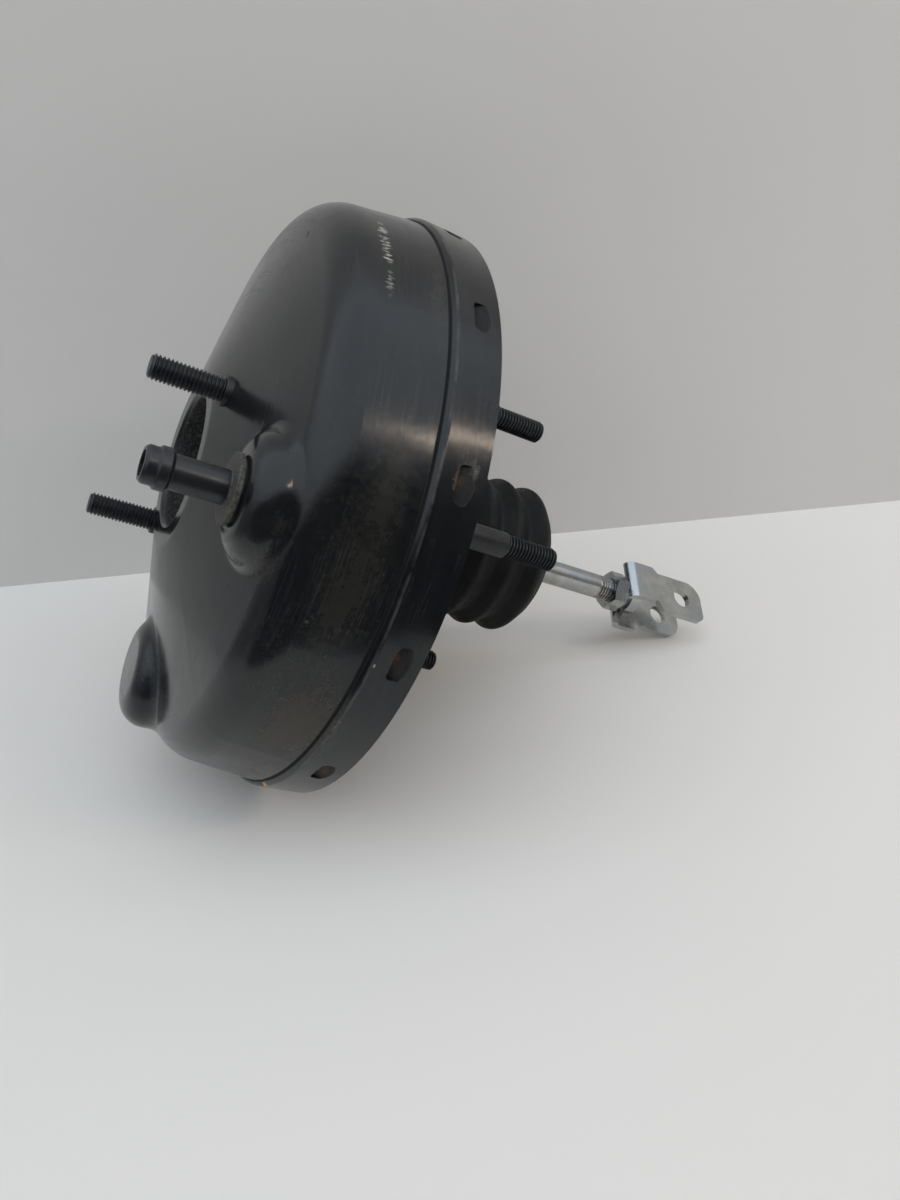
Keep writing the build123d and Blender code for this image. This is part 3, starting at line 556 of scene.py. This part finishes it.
def shellMaterial(name, marks, front):
    made, tree, place, shader = startMaterial(name)
    colour = mixColour(tree, cloud(tree, place, *paint["wear"]), paint["colour"], paint["worn"])
    shine = mixValue(tree, cloud(tree, place, *paint["glossPatches"]), *paint["gloss"])
    swirls, hairs = useGroup(tree, swirl, place, paint["swirls"])
    colour = mixColour(tree, times(tree, swirls, paint["swirlColour"]), colour, paint["scratch"])
    shine = mixValue(tree, times(tree, swirls, paint["swirlDull"]), shine, paint["swirlRough"])
    dirt = useGroup(tree, specks, place, paint["specks"])[0]
    colour = mixColour(tree, times(tree, dirt, paint["speckColour"]), colour, paint["film"])
    for centre, size, grain, broken, softness, tone, strength in marks:
        spot = useGroup(tree, patch, place, {
            "Centre": centre, "Size": size, "Grain": grain, "Broken": broken,
            "Softness": softness})[0]
        amount = times(tree, spot, strength)
        colour = mixColour(tree, amount, colour, paint[tone])
        shine = mixValue(tree, amount, shine, paint["dull"])
    height = sums(tree, "ADD", noise(tree, place, *paint["waves"]),
                  times(tree, hairs, paint["hairDepth"]))
    if front:
        colour, shine = rustLances(tree, place, colour, shine)
        colour = scrapeWall(tree, place, colour)
        colour, shine = darkenSeam(tree, place, colour, shine)
        colour, shine, height = dirtyNeck(tree, place, colour, shine, height)
    feed(tree, shader.inputs["Base Color"], colour)
    feed(tree, shader.inputs["Roughness"], shine)
    feed(tree, shader.inputs["Specular IOR Level"], paint["specular"])
    bump(tree, shader, height, *paint["bump"])
    return made


def wear(finish, *nodes):
    for node in nodes:
        cad[node].data.materials.clear()
        cad[node].data.materials.append(finish)


wear(shellMaterial("shellPaintFront", frontMarks, True), "front_shell")
wear(shellMaterial("shellPaintRear", rearMarks, False), "rear_shell")
print("shell paint made")

# metals, rubber and plastic; speckle is the specks' grain, blotch and amount
finishes = {
    "bareSteel": {
        "colour": (0.42, 0.42, 0.41), "stain": (0.20, 0.19, 0.17), "rough": 0.38, "metal": 1.0,
        "speckle": (900.0, 70.0, 0.5), "bump": 0.00005},
    "springSteel": {
        "colour": (0.24, 0.24, 0.25), "stain": (0.10, 0.09, 0.08), "rough": 0.36, "metal": 1.0,
        "speckle": (1200.0, 110.0, 0.45), "bump": 0.00003},
    "rubber": {
        "colour": (0.0024, 0.0028, 0.0031), "stain": (0.010, 0.010, 0.0090), "rough": 0.55,
        "metal": 0.0, "shine": 0.32, "speckle": (1100.0, 90.0, 0.5), "bump": 0.00006},
    "innerRubber": {
        "colour": (0.012, 0.012, 0.012), "stain": (0.03, 0.03, 0.028), "rough": 0.5, "metal": 0.0,
        "speckle": (900.0, 70.0, 0.5), "bump": 0.00005},
    "valvePlastic": {
        "colour": (0.020, 0.020, 0.022), "stain": (0.04, 0.04, 0.04), "rough": 0.42, "metal": 0.0,
        "speckle": (700.0, 60.0, 0.35), "bump": 0.00003},
    "filterFoam": {
        "colour": (0.060, 0.060, 0.058), "stain": (0.14, 0.14, 0.13), "rough": 0.95, "metal": 0.0,
        "speckle": (1500.0, 500.0, 0.9), "bump": 0.0003},
}
# what all the plain finishes share
plain = {
    "driftScale": 1.7, "drift": (4.0, 0.6), "driftColour": (0.35, 0.68), "driftRough": (0.3, 0.7),
    "deeper": 0.72, "stainShare": 0.7, "smoother": 0.05, "rougher": 0.10, "stainRough": 0.25,
    "shine": 0.5, "grain": (4.0, 0.6), "bumpStrength": 0.5,
}


def plainMaterial(name, values):
    made, tree, place, shader = startMaterial(name)
    grain, blotch, amount = values["speckle"]
    stain = useGroup(tree, specks, place, {"Grain": grain, "Blotch": blotch, "Amount": amount})[0]
    drift = noise(tree, place, blotch * plain["driftScale"], *plain["drift"])
    deeper = tuple(c * plain["deeper"] for c in values["colour"])
    colour = mixColour(tree, ramp(tree, drift, *plain["driftColour"]), values["colour"], deeper)
    colour = mixColour(tree, times(tree, stain, plain["stainShare"]), colour, values["stain"])
    feed(tree, shader.inputs["Base Color"], colour)
    feed(tree, shader.inputs["Metallic"], values["metal"])
    feed(tree, shader.inputs["Specular IOR Level"], values.get("shine", plain["shine"]))
    rough = mixValue(tree, ramp(tree, drift, *plain["driftRough"]),
                     values["rough"] - plain["smoother"], values["rough"] + plain["rougher"])
    stained = min(1.0, values["rough"] + plain["stainRough"])
    feed(tree, shader.inputs["Roughness"], mixValue(tree, stain, rough, stained))
    bump(tree, shader, noise(tree, place, grain, *plain["grain"]),
         plain["bumpStrength"], values["bump"])
    return made


zincPlate = {
    "colour": (0.49, 0.495, 0.47), "warm": (0.36, 0.355, 0.315), "cool": (0.40, 0.425, 0.45),
    "drift": (120.0, 5.0, 0.62), "warmEdges": (0.32, 0.66),
    "coolPatches": ((60.0, 3.0), (0.4, 0.7)),
    "stain": (0.20, 0.19, 0.16), "stainShare": 0.30, "stainRough": 0.55,
    "stains": {"Grain": 1100.0, "Blotch": 160.0, "Amount": 0.20},
    "rust": (0.20, 0.10, 0.045), "rustShare": 0.6, "rustMetal": 0.9,
    "rusts": {"Grain": 900.0, "Blotch": 300.0, "Amount": 0.06},
    "roughEdges": (0.3, 0.7), "rough": (0.15, 0.25), "grain": (1600.0, 3.0), "bump": (0.5, 0.00002),
}


def zincMaterial(values):
    made, tree, place, shader = startMaterial("zincPlate")
    drift = noise(tree, place, *values["drift"])
    colour = mixColour(tree, ramp(tree, drift, *values["warmEdges"]),
                       values["colour"], values["warm"])
    colour = mixColour(tree, cloud(tree, place, *values["coolPatches"]), colour, values["cool"])
    dark = useGroup(tree, specks, place, values["stains"])[0]
    colour = mixColour(tree, times(tree, dark, values["stainShare"]), colour, values["stain"])
    rust = useGroup(tree, specks, place, values["rusts"])[0]
    colour = mixColour(tree, times(tree, rust, values["rustShare"]), colour, values["rust"])
    feed(tree, shader.inputs["Base Color"], colour)
    metal = mixValue(tree, times(tree, rust, values["rustMetal"]), 1.0, 0.0)
    feed(tree, shader.inputs["Metallic"], metal)
    rough = mixValue(tree, ramp(tree, drift, *values["roughEdges"]), *values["rough"])
    feed(tree, shader.inputs["Roughness"], mixValue(tree, dark, rough, values["stainRough"]))
    bump(tree, shader, noise(tree, place, *values["grain"]), *values["bump"])
    return made


# the tip colour on the thread's crests is partly rubbed wear and partly a painted highlight
studBlack = {
    "colour": (0.0045, 0.0056, 0.0074), "tip": (0.030, 0.036, 0.044), "crestEdges": (0.55, 1.0),
    "grain": (1300.0, 4.0, 0.65), "rubEdges": (0.25, 0.65), "dirt": (0.05, 0.045, 0.035),
    "specks": {"Grain": 1700.0, "Blotch": 220.0, "Amount": 0.35}, "dirtShare": 0.5,
    "rough": (0.42, 0.26), "bump": (0.4, 0.00002),
}


def studMaterial(values):
    # black finish, lighter on the thread's crests: partly rubbed wear, partly a painted highlight,
    # with painted shade in the valleys
    made, tree, place, shader = startMaterial("blackStud")
    crest = put(tree, "ShaderNodeAttribute", attribute_name="crest").outputs["Fac"]
    grain = noise(tree, place, *values["grain"])
    crestWearAndHighlight = times(tree, ramp(tree, crest, *values["crestEdges"]),
                ramp(tree, grain, *values["rubEdges"]))
    colour = mixColour(tree, crestWearAndHighlight, values["colour"], values["tip"])
    dirt = useGroup(tree, specks, place, values["specks"])[0]
    colour = mixColour(tree, times(tree, dirt, values["dirtShare"]), colour, values["dirt"])
    feed(tree, shader.inputs["Base Color"], colour)
    feed(tree, shader.inputs["Roughness"], mixValue(tree, crestWearAndHighlight, *values["rough"]))
    bump(tree, shader, grain, *values["bump"])
    return made


portBlack = {
    "colours": ((0.0085, 0.0098, 0.0118), (0.0135, 0.0150, 0.0175)),
    "patches": ((700.0, 5.0, 0.65), (0.2, 0.95)), "roughPatches": ((160.0, 4.0), (0.35, 0.7)),
    "rough": (0.30, 0.40), "flange": (-0.0816, -0.0806), "flangeRough": 0.7,
    "grit": (1100.0, 5.0, 0.7), "gritEdges": (0.38, 0.62),
    "grime": ((0.027, 0.027, 0.024), (0.10, 0.094, 0.074)), "bump": (0.4, 0.00003),
}


def portMaterial(values):
    # satin black with grime on the flange at the port's root
    made, tree, place, shader = startMaterial("blackPort")
    flange = ramp(tree, split(tree, place)[1], *values["flange"])
    grit = noise(tree, place, *values["grit"])
    colour = mixColour(tree, cloud(tree, place, *values["patches"]), *values["colours"])
    grime = mixColour(tree, ramp(tree, grit, *values["gritEdges"]), *values["grime"])
    feed(tree, shader.inputs["Base Color"], mixColour(tree, flange, colour, grime))
    rough = mixValue(tree, cloud(tree, place, *values["roughPatches"]), *values["rough"])
    feed(tree, shader.inputs["Roughness"], mixValue(tree, flange, rough, values["flangeRough"]))
    bump(tree, shader, grit, *values["bump"])
    return made


coats = {name: plainMaterial(name, values) for name, values in finishes.items()}
zinc, blackStud = zincMaterial(zincPlate), studMaterial(studBlack)
blackPort = portMaterial(portBlack)
wear(zinc, "lock_nut", "clevis")
wear(blackPort, "vacuum_port", "front_reinforcement_plate", "rear_reinforcement_plate")
wear(coats["innerRubber"], "port_gasket", "rear_seal", "reaction_disc", "poppet_valve")
wear(coats["bareSteel"], "seal_retainer", "diaphragm_plate", "output_rod", "output_rod_retainer",
     "valve_plunger", "poppet_retainer", "filter_retainer", "stop_key", "spring_seat")
wear(coats["springSteel"], "poppet_spring")
wear(coats["valvePlastic"], "valve_body")
wear(coats["filterFoam"], "air_filter")
print("finishes made")


# mesh helpers
sharpAngle = 35.0
weldDistance = 1e-7
crumbDistance = 1e-8
axisGap = 0.00001  # radius of the pinhole where an outline meets its axis


def rounded(points, steps):
    # corners given a radius become arcs of short runs
    made = [Vector(points[0][:2])]
    for before, here, after in zip(points, points[1:], points[2:]):
        corner, radius = Vector(here[:2]), (here[2] if len(here) > 2 else 0.0)
        if radius <= 0:
            made.append(corner)
            continue
        toBefore = (Vector(before[:2]) - corner).normalized()
        toAfter = (Vector(after[:2]) - corner).normalized()
        half = math.acos(max(-1.0, min(1.0, toBefore.dot(toAfter)))) / 2
        reach = radius / math.tan(half)
        middle = corner + (toBefore + toAfter).normalized() * (radius / math.sin(half))
        first = (corner + toBefore * reach - middle).normalized()
        last = (corner + toAfter * reach - middle).normalized()
        made += [middle + first.slerp(last, i / steps) * radius for i in range(steps + 1)]
    made.append(Vector(points[-1][:2]))
    return [(p.x, p.y) for p in made]


def meshObject(name, verts, faces, finish, crest=None):
    mesh = bpy.data.meshes.new(name)
    mesh.from_pydata(verts, [], faces)
    mesh.validate()
    mesh.polygons.foreach_set("use_smooth", [True] * len(mesh.polygons))
    mesh.materials.append(finish)
    if crest:
        mesh.attributes.new("crest", "FLOAT", "POINT").data.foreach_set("value", crest)
    work = bmesh.new()
    work.from_mesh(mesh)
    bmesh.ops.remove_doubles(work, verts=work.verts, dist=weldDistance)
    bmesh.ops.dissolve_degenerate(work, edges=work.edges, dist=crumbDistance)
    bmesh.ops.recalc_face_normals(work, faces=work.faces)
    work.to_mesh(mesh)
    work.free()
    mesh.set_sharp_from_angle(angle=math.radians(sharpAngle))
    return addObject(name, mesh)


def turned(outline, steps, closed):
    # revolves (radius, y) points round the Y axis
    verts, faces = [], []
    for radius, y in outline:
        for k in range(steps):
            angle = 2 * math.pi * k / steps
            verts.append((radius * math.cos(angle), y, radius * math.sin(angle)))
    rows = len(outline)
    for j in range(rows if closed else rows - 1):
        below, above = j * steps, ((j + 1) % rows) * steps
        for k in range(steps):
            after = (k + 1) % steps
            faces.append((below + k, below + after, above + after, above + k))
    return verts, faces


# one pitch of a V thread: share of the pitch, share of the depth
threadShape = [(0.0, 0.0), (0.10, 0.0), (0.42, 1.0), (0.58, 1.0), (0.90, 0.0)]
coreGap = 0.0001  # the core behind a thread is this much thinner than its root


def threadRows(start, end, major, values):
    # a helical V thread along Y, as rings of points that climb one pitch a turn
    minor, pitch, steps = values["minor"], values["pitch"], values["steps"]
    core = minor - coreGap
    low, high = min(start, end), max(start, end)
    turns = int((high - low) / pitch) + 3  # the spare turns are flattened at the ends
    verts, crest = [], []
    for k in range(steps):
        share = k / steps
        for turn in range(-1, turns):
            for offset, rise in threadShape:
                y = low + pitch * (turn + offset + share)
                inside = low < y < high
                # the crests taper off toward the start
                radius = min(minor + (major - minor) * rise, core + abs(y - start))
                radius = radius if inside else core
                angle = 2 * math.pi * share
                y = min(max(y, low), high)
                verts.append((radius * math.cos(angle), y, radius * math.sin(angle)))
                crest.append(rise if inside else 0.0)
    rows = (turns + 1) * len(threadShape)
    faces = []
    for k in range(steps):
        here, after = k * rows, ((k + 1) % steps) * rows
        shift = len(threadShape) if k == steps - 1 else 0
        for j in range(rows - 1 - shift):
            faces.append((here + j, after + j + shift, after + j + 1 + shift, here + j + 1))
    return verts, faces, crest


def threadedObject(name, parts, finish):
    # joins the parts and keeps the thread's height at each point for the finish
    verts, faces, crest = [], [], []
    for part in parts:
        base = len(verts)
        verts += part[0]
        faces += [tuple(i + base for i in face) for face in part[1]]
        crest += part[2] if len(part) > 2 else [0.0] * len(part[0])
    return meshObject(name, verts, faces, finish, crest)


# geometry nodes
def nodeTree(name, inputs):
    tree = bpy.data.node_groups.new(name, "GeometryNodeTree")
    sockets = tree.interface.new_socket
    names = {label: sockets(label, in_out="INPUT", socket_type="NodeSocket" + kind).identifier
             for label, kind in inputs}
    sockets("Geometry", in_out="OUTPUT", socket_type="NodeSocketGeometry")
    return tree, names, put(tree, "NodeGroupInput").outputs, put(tree, "NodeGroupOutput")


def finishTree(tree, given, out, shape):
    real = put(tree, "GeometryNodeRealizeInstances", {0: shape})
    coat = put(tree, "GeometryNodeSetMaterial", {
        "Geometry": real.outputs[0], "Material": given["Finish"]})
    feed(tree, out.inputs[0], coat.outputs[0])


def runTree(name, tree, names, values, points=()):
    start = bpy.data.meshes.new(name + "Start")
    start.from_pydata(list(points), [], [])
    holder = addObject(name + "Start", start)
    change = holder.modifiers.new(name, "NODES")
    change.node_group = tree
    for label, value in values.items():
        change[names[label]] = value
    bpy.context.view_layer.update()
    ready = holder.evaluated_get(bpy.context.evaluated_depsgraph_get())
    mesh = bpy.data.meshes.new_from_object(ready)
    mesh.name = name
    holder.modifiers.remove(change)
    bpy.data.objects.remove(holder)
    return addObject(name, mesh)


coilSteps = {"turn": 40, "wire": 12}


def coilTree():
    # a wire coil along Y
    tree, names, given, out = nodeTree("coilWire", [
        ("Geometry", "Geometry"), ("Coil Radius", "Float"), ("Wire Radius", "Float"),
        ("Start", "Float"), ("Height", "Float"), ("Turns", "Float"), ("Finish", "Material")])
    spiral = put(tree, "GeometryNodeCurveSpiral", {
        "Resolution": coilSteps["turn"], "Start Radius": given["Coil Radius"],
        "End Radius": given["Coil Radius"], "Height": given["Height"],
        "Rotations": given["Turns"]})
    ring = put(tree, "GeometryNodeCurvePrimitiveCircle", {
        "Resolution": coilSteps["wire"], "Radius": given["Wire Radius"]})
    wire = put(tree, "GeometryNodeCurveToMesh", {
        "Curve": spiral.outputs[0], "Profile Curve": ring.outputs[0], "Fill Caps": True})
    turn = put(tree, "GeometryNodeTransform", {
        "Geometry": wire.outputs[0], "Rotation": (-math.pi / 2, 0, 0)})
    shift = put(tree, "ShaderNodeCombineXYZ", {"Y": given["Start"]})
    move = put(tree, "GeometryNodeTransform", {
        "Geometry": turn.outputs[0], "Translation": shift.outputs[0]})
    smooth = put(tree, "GeometryNodeSetShadeSmooth", {"Geometry": move.outputs[0]})
    finishTree(tree, given, out, smooth.outputs[0])
    return tree, names


def patternTree():
    # the same stud at each start point
    tree, names, given, out = nodeTree("studPattern", [
        ("Geometry", "Geometry"), ("Stud", "Object"), ("Finish", "Material")])
    info = put(tree, "GeometryNodeObjectInfo", {"Object": given["Stud"]},
               transform_space="ORIGINAL")
    spots = put(tree, "GeometryNodeMeshToPoints", {"Mesh": given["Geometry"]})
    copies = put(tree, "GeometryNodeInstanceOnPoints", {
        "Points": spots.outputs[0], "Instance": info.outputs["Geometry"]})
    finishTree(tree, given, out, copies.outputs[0])
    return tree, names


coil, pattern = coilTree(), patternTree()

# threaded studs, made along Y and then set at their places
studs = {
    "major": 0.0040,
    "minor": 0.00332,
    "pitch": 0.00125,
    "steps": 40,
    "overlap": 0.0004,
    "edge": 0.0003,
    "edgeSteps": 3,
    "headRadius": 0.0065,
    "headThickness": 0.0020,
    "frontStuds": {
        "toHead": 1, "tip": -0.1038, "shank": -0.08127, "neck": -0.0785, "head": -0.0747,
        "shankRadius": 0.0049, "neckRadius": 0.0049, "places": [(0, 0, 0.0385), (0, 0, -0.0385)]},
    "rearStuds": {
        "toHead": -1, "tip": 0.0376, "shank": 0.0179, "neck": 0.0, "head": -0.00365,
        "shankRadius": 0.0044, "neckRadius": 0.0048,
        "places": [(sx * 0.0285, 0, sz * 0.0418) for sx in (-1, 1) for sz in (-1, 1)]},
}


def makeStuds(name, values):
    own, edge, steps = values[name], values["edge"], values["steps"]
    tip, shank, neckY, head = own["tip"], own["shank"], own["neck"], own["head"]
    shankRadius, neckRadius = own["shankRadius"], own["neckRadius"]
    headRadius = values["headRadius"]
    thread = threadRows(tip, shank + own["toHead"] * values["overlap"], values["major"], values)
    cap = turned([(axisGap, tip), (values["minor"] - coreGap, tip)], steps, False)
    headEnd = head + own["toHead"] * values["headThickness"]
    body = turned(rounded([
        (axisGap, shank), (shankRadius, shank, edge), (shankRadius, neckY), (neckRadius, neckY),
        (neckRadius, head), (headRadius, head, edge), (headRadius, headEnd, edge),
        (axisGap, headEnd)], values["edgeSteps"]), steps, False)
    one = threadedObject(name + "One", [thread, cap, body], blackStud)
    made = runTree(name, *pattern, {"Stud": one, "Finish": blackStud}, own["places"])
    bpy.data.objects.remove(one)
    return made


for name, node in (("frontStuds", "front_studs"), ("rearStuds", "rear_studs")):
    piece = makeStuds(name, studs)
    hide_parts(node)
    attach(piece, "housing")
print("studs made")

# push rod with its ball and its thread
rod = {
    "steps": 48, "ballSteps": 24, "bendSteps": 6,
    "ball": 0.0050, "ballY": 0.0150, "ballStep": 0.0002, "neck": 0.0034, "neckEnd": 0.0310,
    "bend": 0.002, "shoulder": 0.0340, "radius": 0.0049,
    "threadFrom": 0.0925, "runOut": 0.0007, "end": 0.1124, "minor": 0.0043, "pitch": 0.00125,
}


def makeRod(values):
    ball, core, steps = values["ball"], values["minor"] - coreGap, values["steps"]
    ballEnd = math.sqrt(ball ** 2 - values["neck"] ** 2)
    sweep = math.pi / 2 + math.asin(ballEnd / ball)
    outline = []
    for i in range(values["ballSteps"] + 1):
        angle = -math.pi / 2 + sweep * i / values["ballSteps"]
        outline.append((max(ball * math.cos(angle), axisGap),
                        values["ballY"] + ball * math.sin(angle)))
    outline += rounded([
        (values["neck"], values["ballY"] + ballEnd + values["ballStep"]),
        (values["neck"], values["neckEnd"], values["bend"]),
        (values["radius"], values["shoulder"], values["bend"]),
        (values["radius"], values["threadFrom"] - values["runOut"]), (core, values["threadFrom"])],
        values["bendSteps"])
    shaft = turned(outline, steps, False)
    thread = threadRows(values["end"], values["threadFrom"], values["radius"], values)
    cap = turned([(core, values["end"]), (axisGap, values["end"])], steps, False)
    return threadedObject("pushRod", [shaft, thread, cap], zinc)


pushRod = makeRod(rod)
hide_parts("push_rod")
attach(pushRod, "push_rod")
print("push rod made")

# springs; room is what the coil is shorter than its node
springs = {
    "returnSpring": {
        "node": "return_spring", "joint": "push_stroke", "stroke": 0.028, "body": "housing",
        "coil": 0.0276, "wire": 0.0015, "turns": 5.5, "room": 0.0},
    "rodSpring": {
        "node": "rod_return_spring", "joint": "valve_travel", "stroke": 0.0016,
        "body": "power_piston", "coil": 0.0084, "wire": 0.0007, "turns": 4.5, "room": 0.0006},
}
for name, values in springs.items():
    low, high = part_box(values["node"])
    wire = values["wire"]
    piece = runTree(name, *coil, {
        "Coil Radius": values["coil"], "Wire Radius": wire, "Start": low.y + wire,
        "Height": high.y - low.y - 2 * wire - values["room"], "Turns": values["turns"],
        "Finish": coats["springSteel"]})
    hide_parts(values["node"])
    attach(piece, values["body"])
    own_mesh(piece)
print("springs made")

# dust boot; each bend is the radius of its corner
boot = {
    "steps": 112, "bendSteps": 7, "innerSteps": 4,
    "wall": 0.0017, "foldWall": 1.05, "stroke": 0.028,
    "lipRadius": 0.0282, "lipInner": 0.02558, "lipY": 0.0027,
    "lipRun": 0.003, "lipBend": 0.002, "lipInnerRun": 0.0006, "lipInnerBend": 0.0004,
    "crest": 0.0294, "crestBend": 0.0022, "crestInnerBend": 0.0014,
    "valley": 0.0254, "valleyBend": 0.0024, "valleyInnerBend": 0.001,
    "firstCrest": 0.0116, "pitch": 0.012, "crests": 4,
    "endY": 0.0535, "endRadius": 0.0249, "endFall": 0.0014, "endBend": 0.001,
    "endInset": 0.0019, "endEdge": 0.0008, "openingEdge": 0.0003,
    "innerInset": 0.0023, "innerFall": 0.0006, "innerBend": 0.0008,
    "floorInset": 0.0033, "floorBend": 0.0006,
    "opening": 0.01155, "webThickness": 0.0009, "webStep": 0.0050, "webEnd": 0.0040,
}
# the boot's neck, a collar that grips the rod, with a flange behind the boot's end
collar = {
    "steps": 112, "bendSteps": 5, "hole": 0.00525,
    "flange": 0.0130, "flangeLow": 0.0514, "flangeHigh": 0.05185, "edge": 0.0002,
    "neck": 0.0092, "neckEnd": 0.0074, "neckBend": 0.0004, "reach": 0.0034,
    "tipFlare": 0.0003, "tipFall": 0.0006, "tipInset": 0.0004, "tipBend": 0.0003,
}


def makeBoot(values):
    crest, valley, lipY, first = (values[k] for k in ("crest", "valley", "lipY", "firstCrest"))
    thin = values["wall"] * values["foldWall"]
    outer = [(values["lipRadius"], lipY),
             (values["lipRadius"], first - values["lipRun"], values["lipBend"])]
    inner = [(values["lipInner"], lipY),
             (values["lipInner"], first - values["lipInnerRun"], values["lipInnerBend"])]
    for i in range(values["crests"]):
        y = first + i * values["pitch"]
        if i > 0:
            outer.append((valley, y - values["pitch"] / 2, values["valleyBend"]))
            inner.append((valley - thin, y - values["pitch"] / 2, values["valleyInnerBend"]))
        outer.append((crest, y, values["crestBend"]))
        inner.append((crest - thin, y, values["crestInnerBend"]))
    end, endRadius, opening = values["endY"], values["endRadius"], values["opening"]
    web, floor = end - values["webThickness"], end - values["wall"]
    outer += [(endRadius, end - values["endFall"], values["endBend"]),
              (endRadius - values["endInset"], end, values["endEdge"]),
              (opening, end, values["openingEdge"]), (opening, web)]
    inner += [(endRadius - values["innerInset"], floor - values["innerFall"], values["innerBend"]),
              (endRadius - values["floorInset"], floor, values["floorBend"]),
              (opening + values["webStep"], floor, values["floorBend"]),
              (opening + values["webEnd"], web)]
    outline = rounded(outer, values["bendSteps"])
    outline += reversed(rounded(inner, values["innerSteps"]))
    return meshObject("dustBoot", *turned(outline, values["steps"], True), coats["rubber"])


def makeCollar(values, bootEnd):
    hole, flange, edge = values["hole"], values["flange"], values["edge"]
    tip = bootEnd + values["reach"]
    low, high, neckEnd = values["flangeLow"], values["flangeHigh"], values["neckEnd"]
    outline = rounded([
        (hole, low), (flange, low, edge), (flange, high, edge),
        (values["neck"], high, values["neckBend"]),
        (neckEnd + values["tipFlare"], tip - values["tipFall"], values["neckBend"]),
        (neckEnd - values["tipInset"], tip, values["tipBend"]),
        (hole + values["tipBend"], tip, edge), (hole, tip - values["tipBend"])],
        values["bendSteps"])
    return meshObject("bootCollar", *turned(outline, values["steps"], True), coats["rubber"])


dustBoot, bootCollar = makeBoot(boot), makeCollar(collar, boot["endY"])
for piece, body in ((dustBoot, "housing"), (bootCollar, "push_rod")):
    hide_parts("dust_boot")
    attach(piece, body)
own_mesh(dustBoot)
print("dust boot made")

# diaphragm: the web goes with the piston plate, the bead and fold stay with the shells
diaphragm = {
    "steps": 96,
    "web": [
        (0.0196, -0.00995), (0.0560, -0.00995), (0.0841, -0.02545), (0.0841, -0.0360),
        (0.0856, -0.0360), (0.0857, -0.0244), (0.0566, -0.0082), (0.0196, -0.0082)],
    "bead": [
        (0.0863, -0.0362), (0.0878, -0.0396), (0.0910, -0.0398), (0.0946, -0.0352),
        (0.0966, -0.0344), (0.0984, -0.0344), (0.0997, -0.0330), (0.0997, -0.03065),
        (0.0956, -0.03065), (0.0939, -0.0324), (0.0905, -0.0372), (0.0886, -0.0376),
        (0.0876, -0.0362)],
}
for name, key, body in (("diaphragmWeb", "web", "power_piston"),
                        ("diaphragmBead", "bead", "housing")):
    piece = meshObject(name, *turned(diaphragm[key], diaphragm["steps"], True),
                       coats["innerRubber"])
    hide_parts("diaphragm")
    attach(piece, body)
print("diaphragm made")
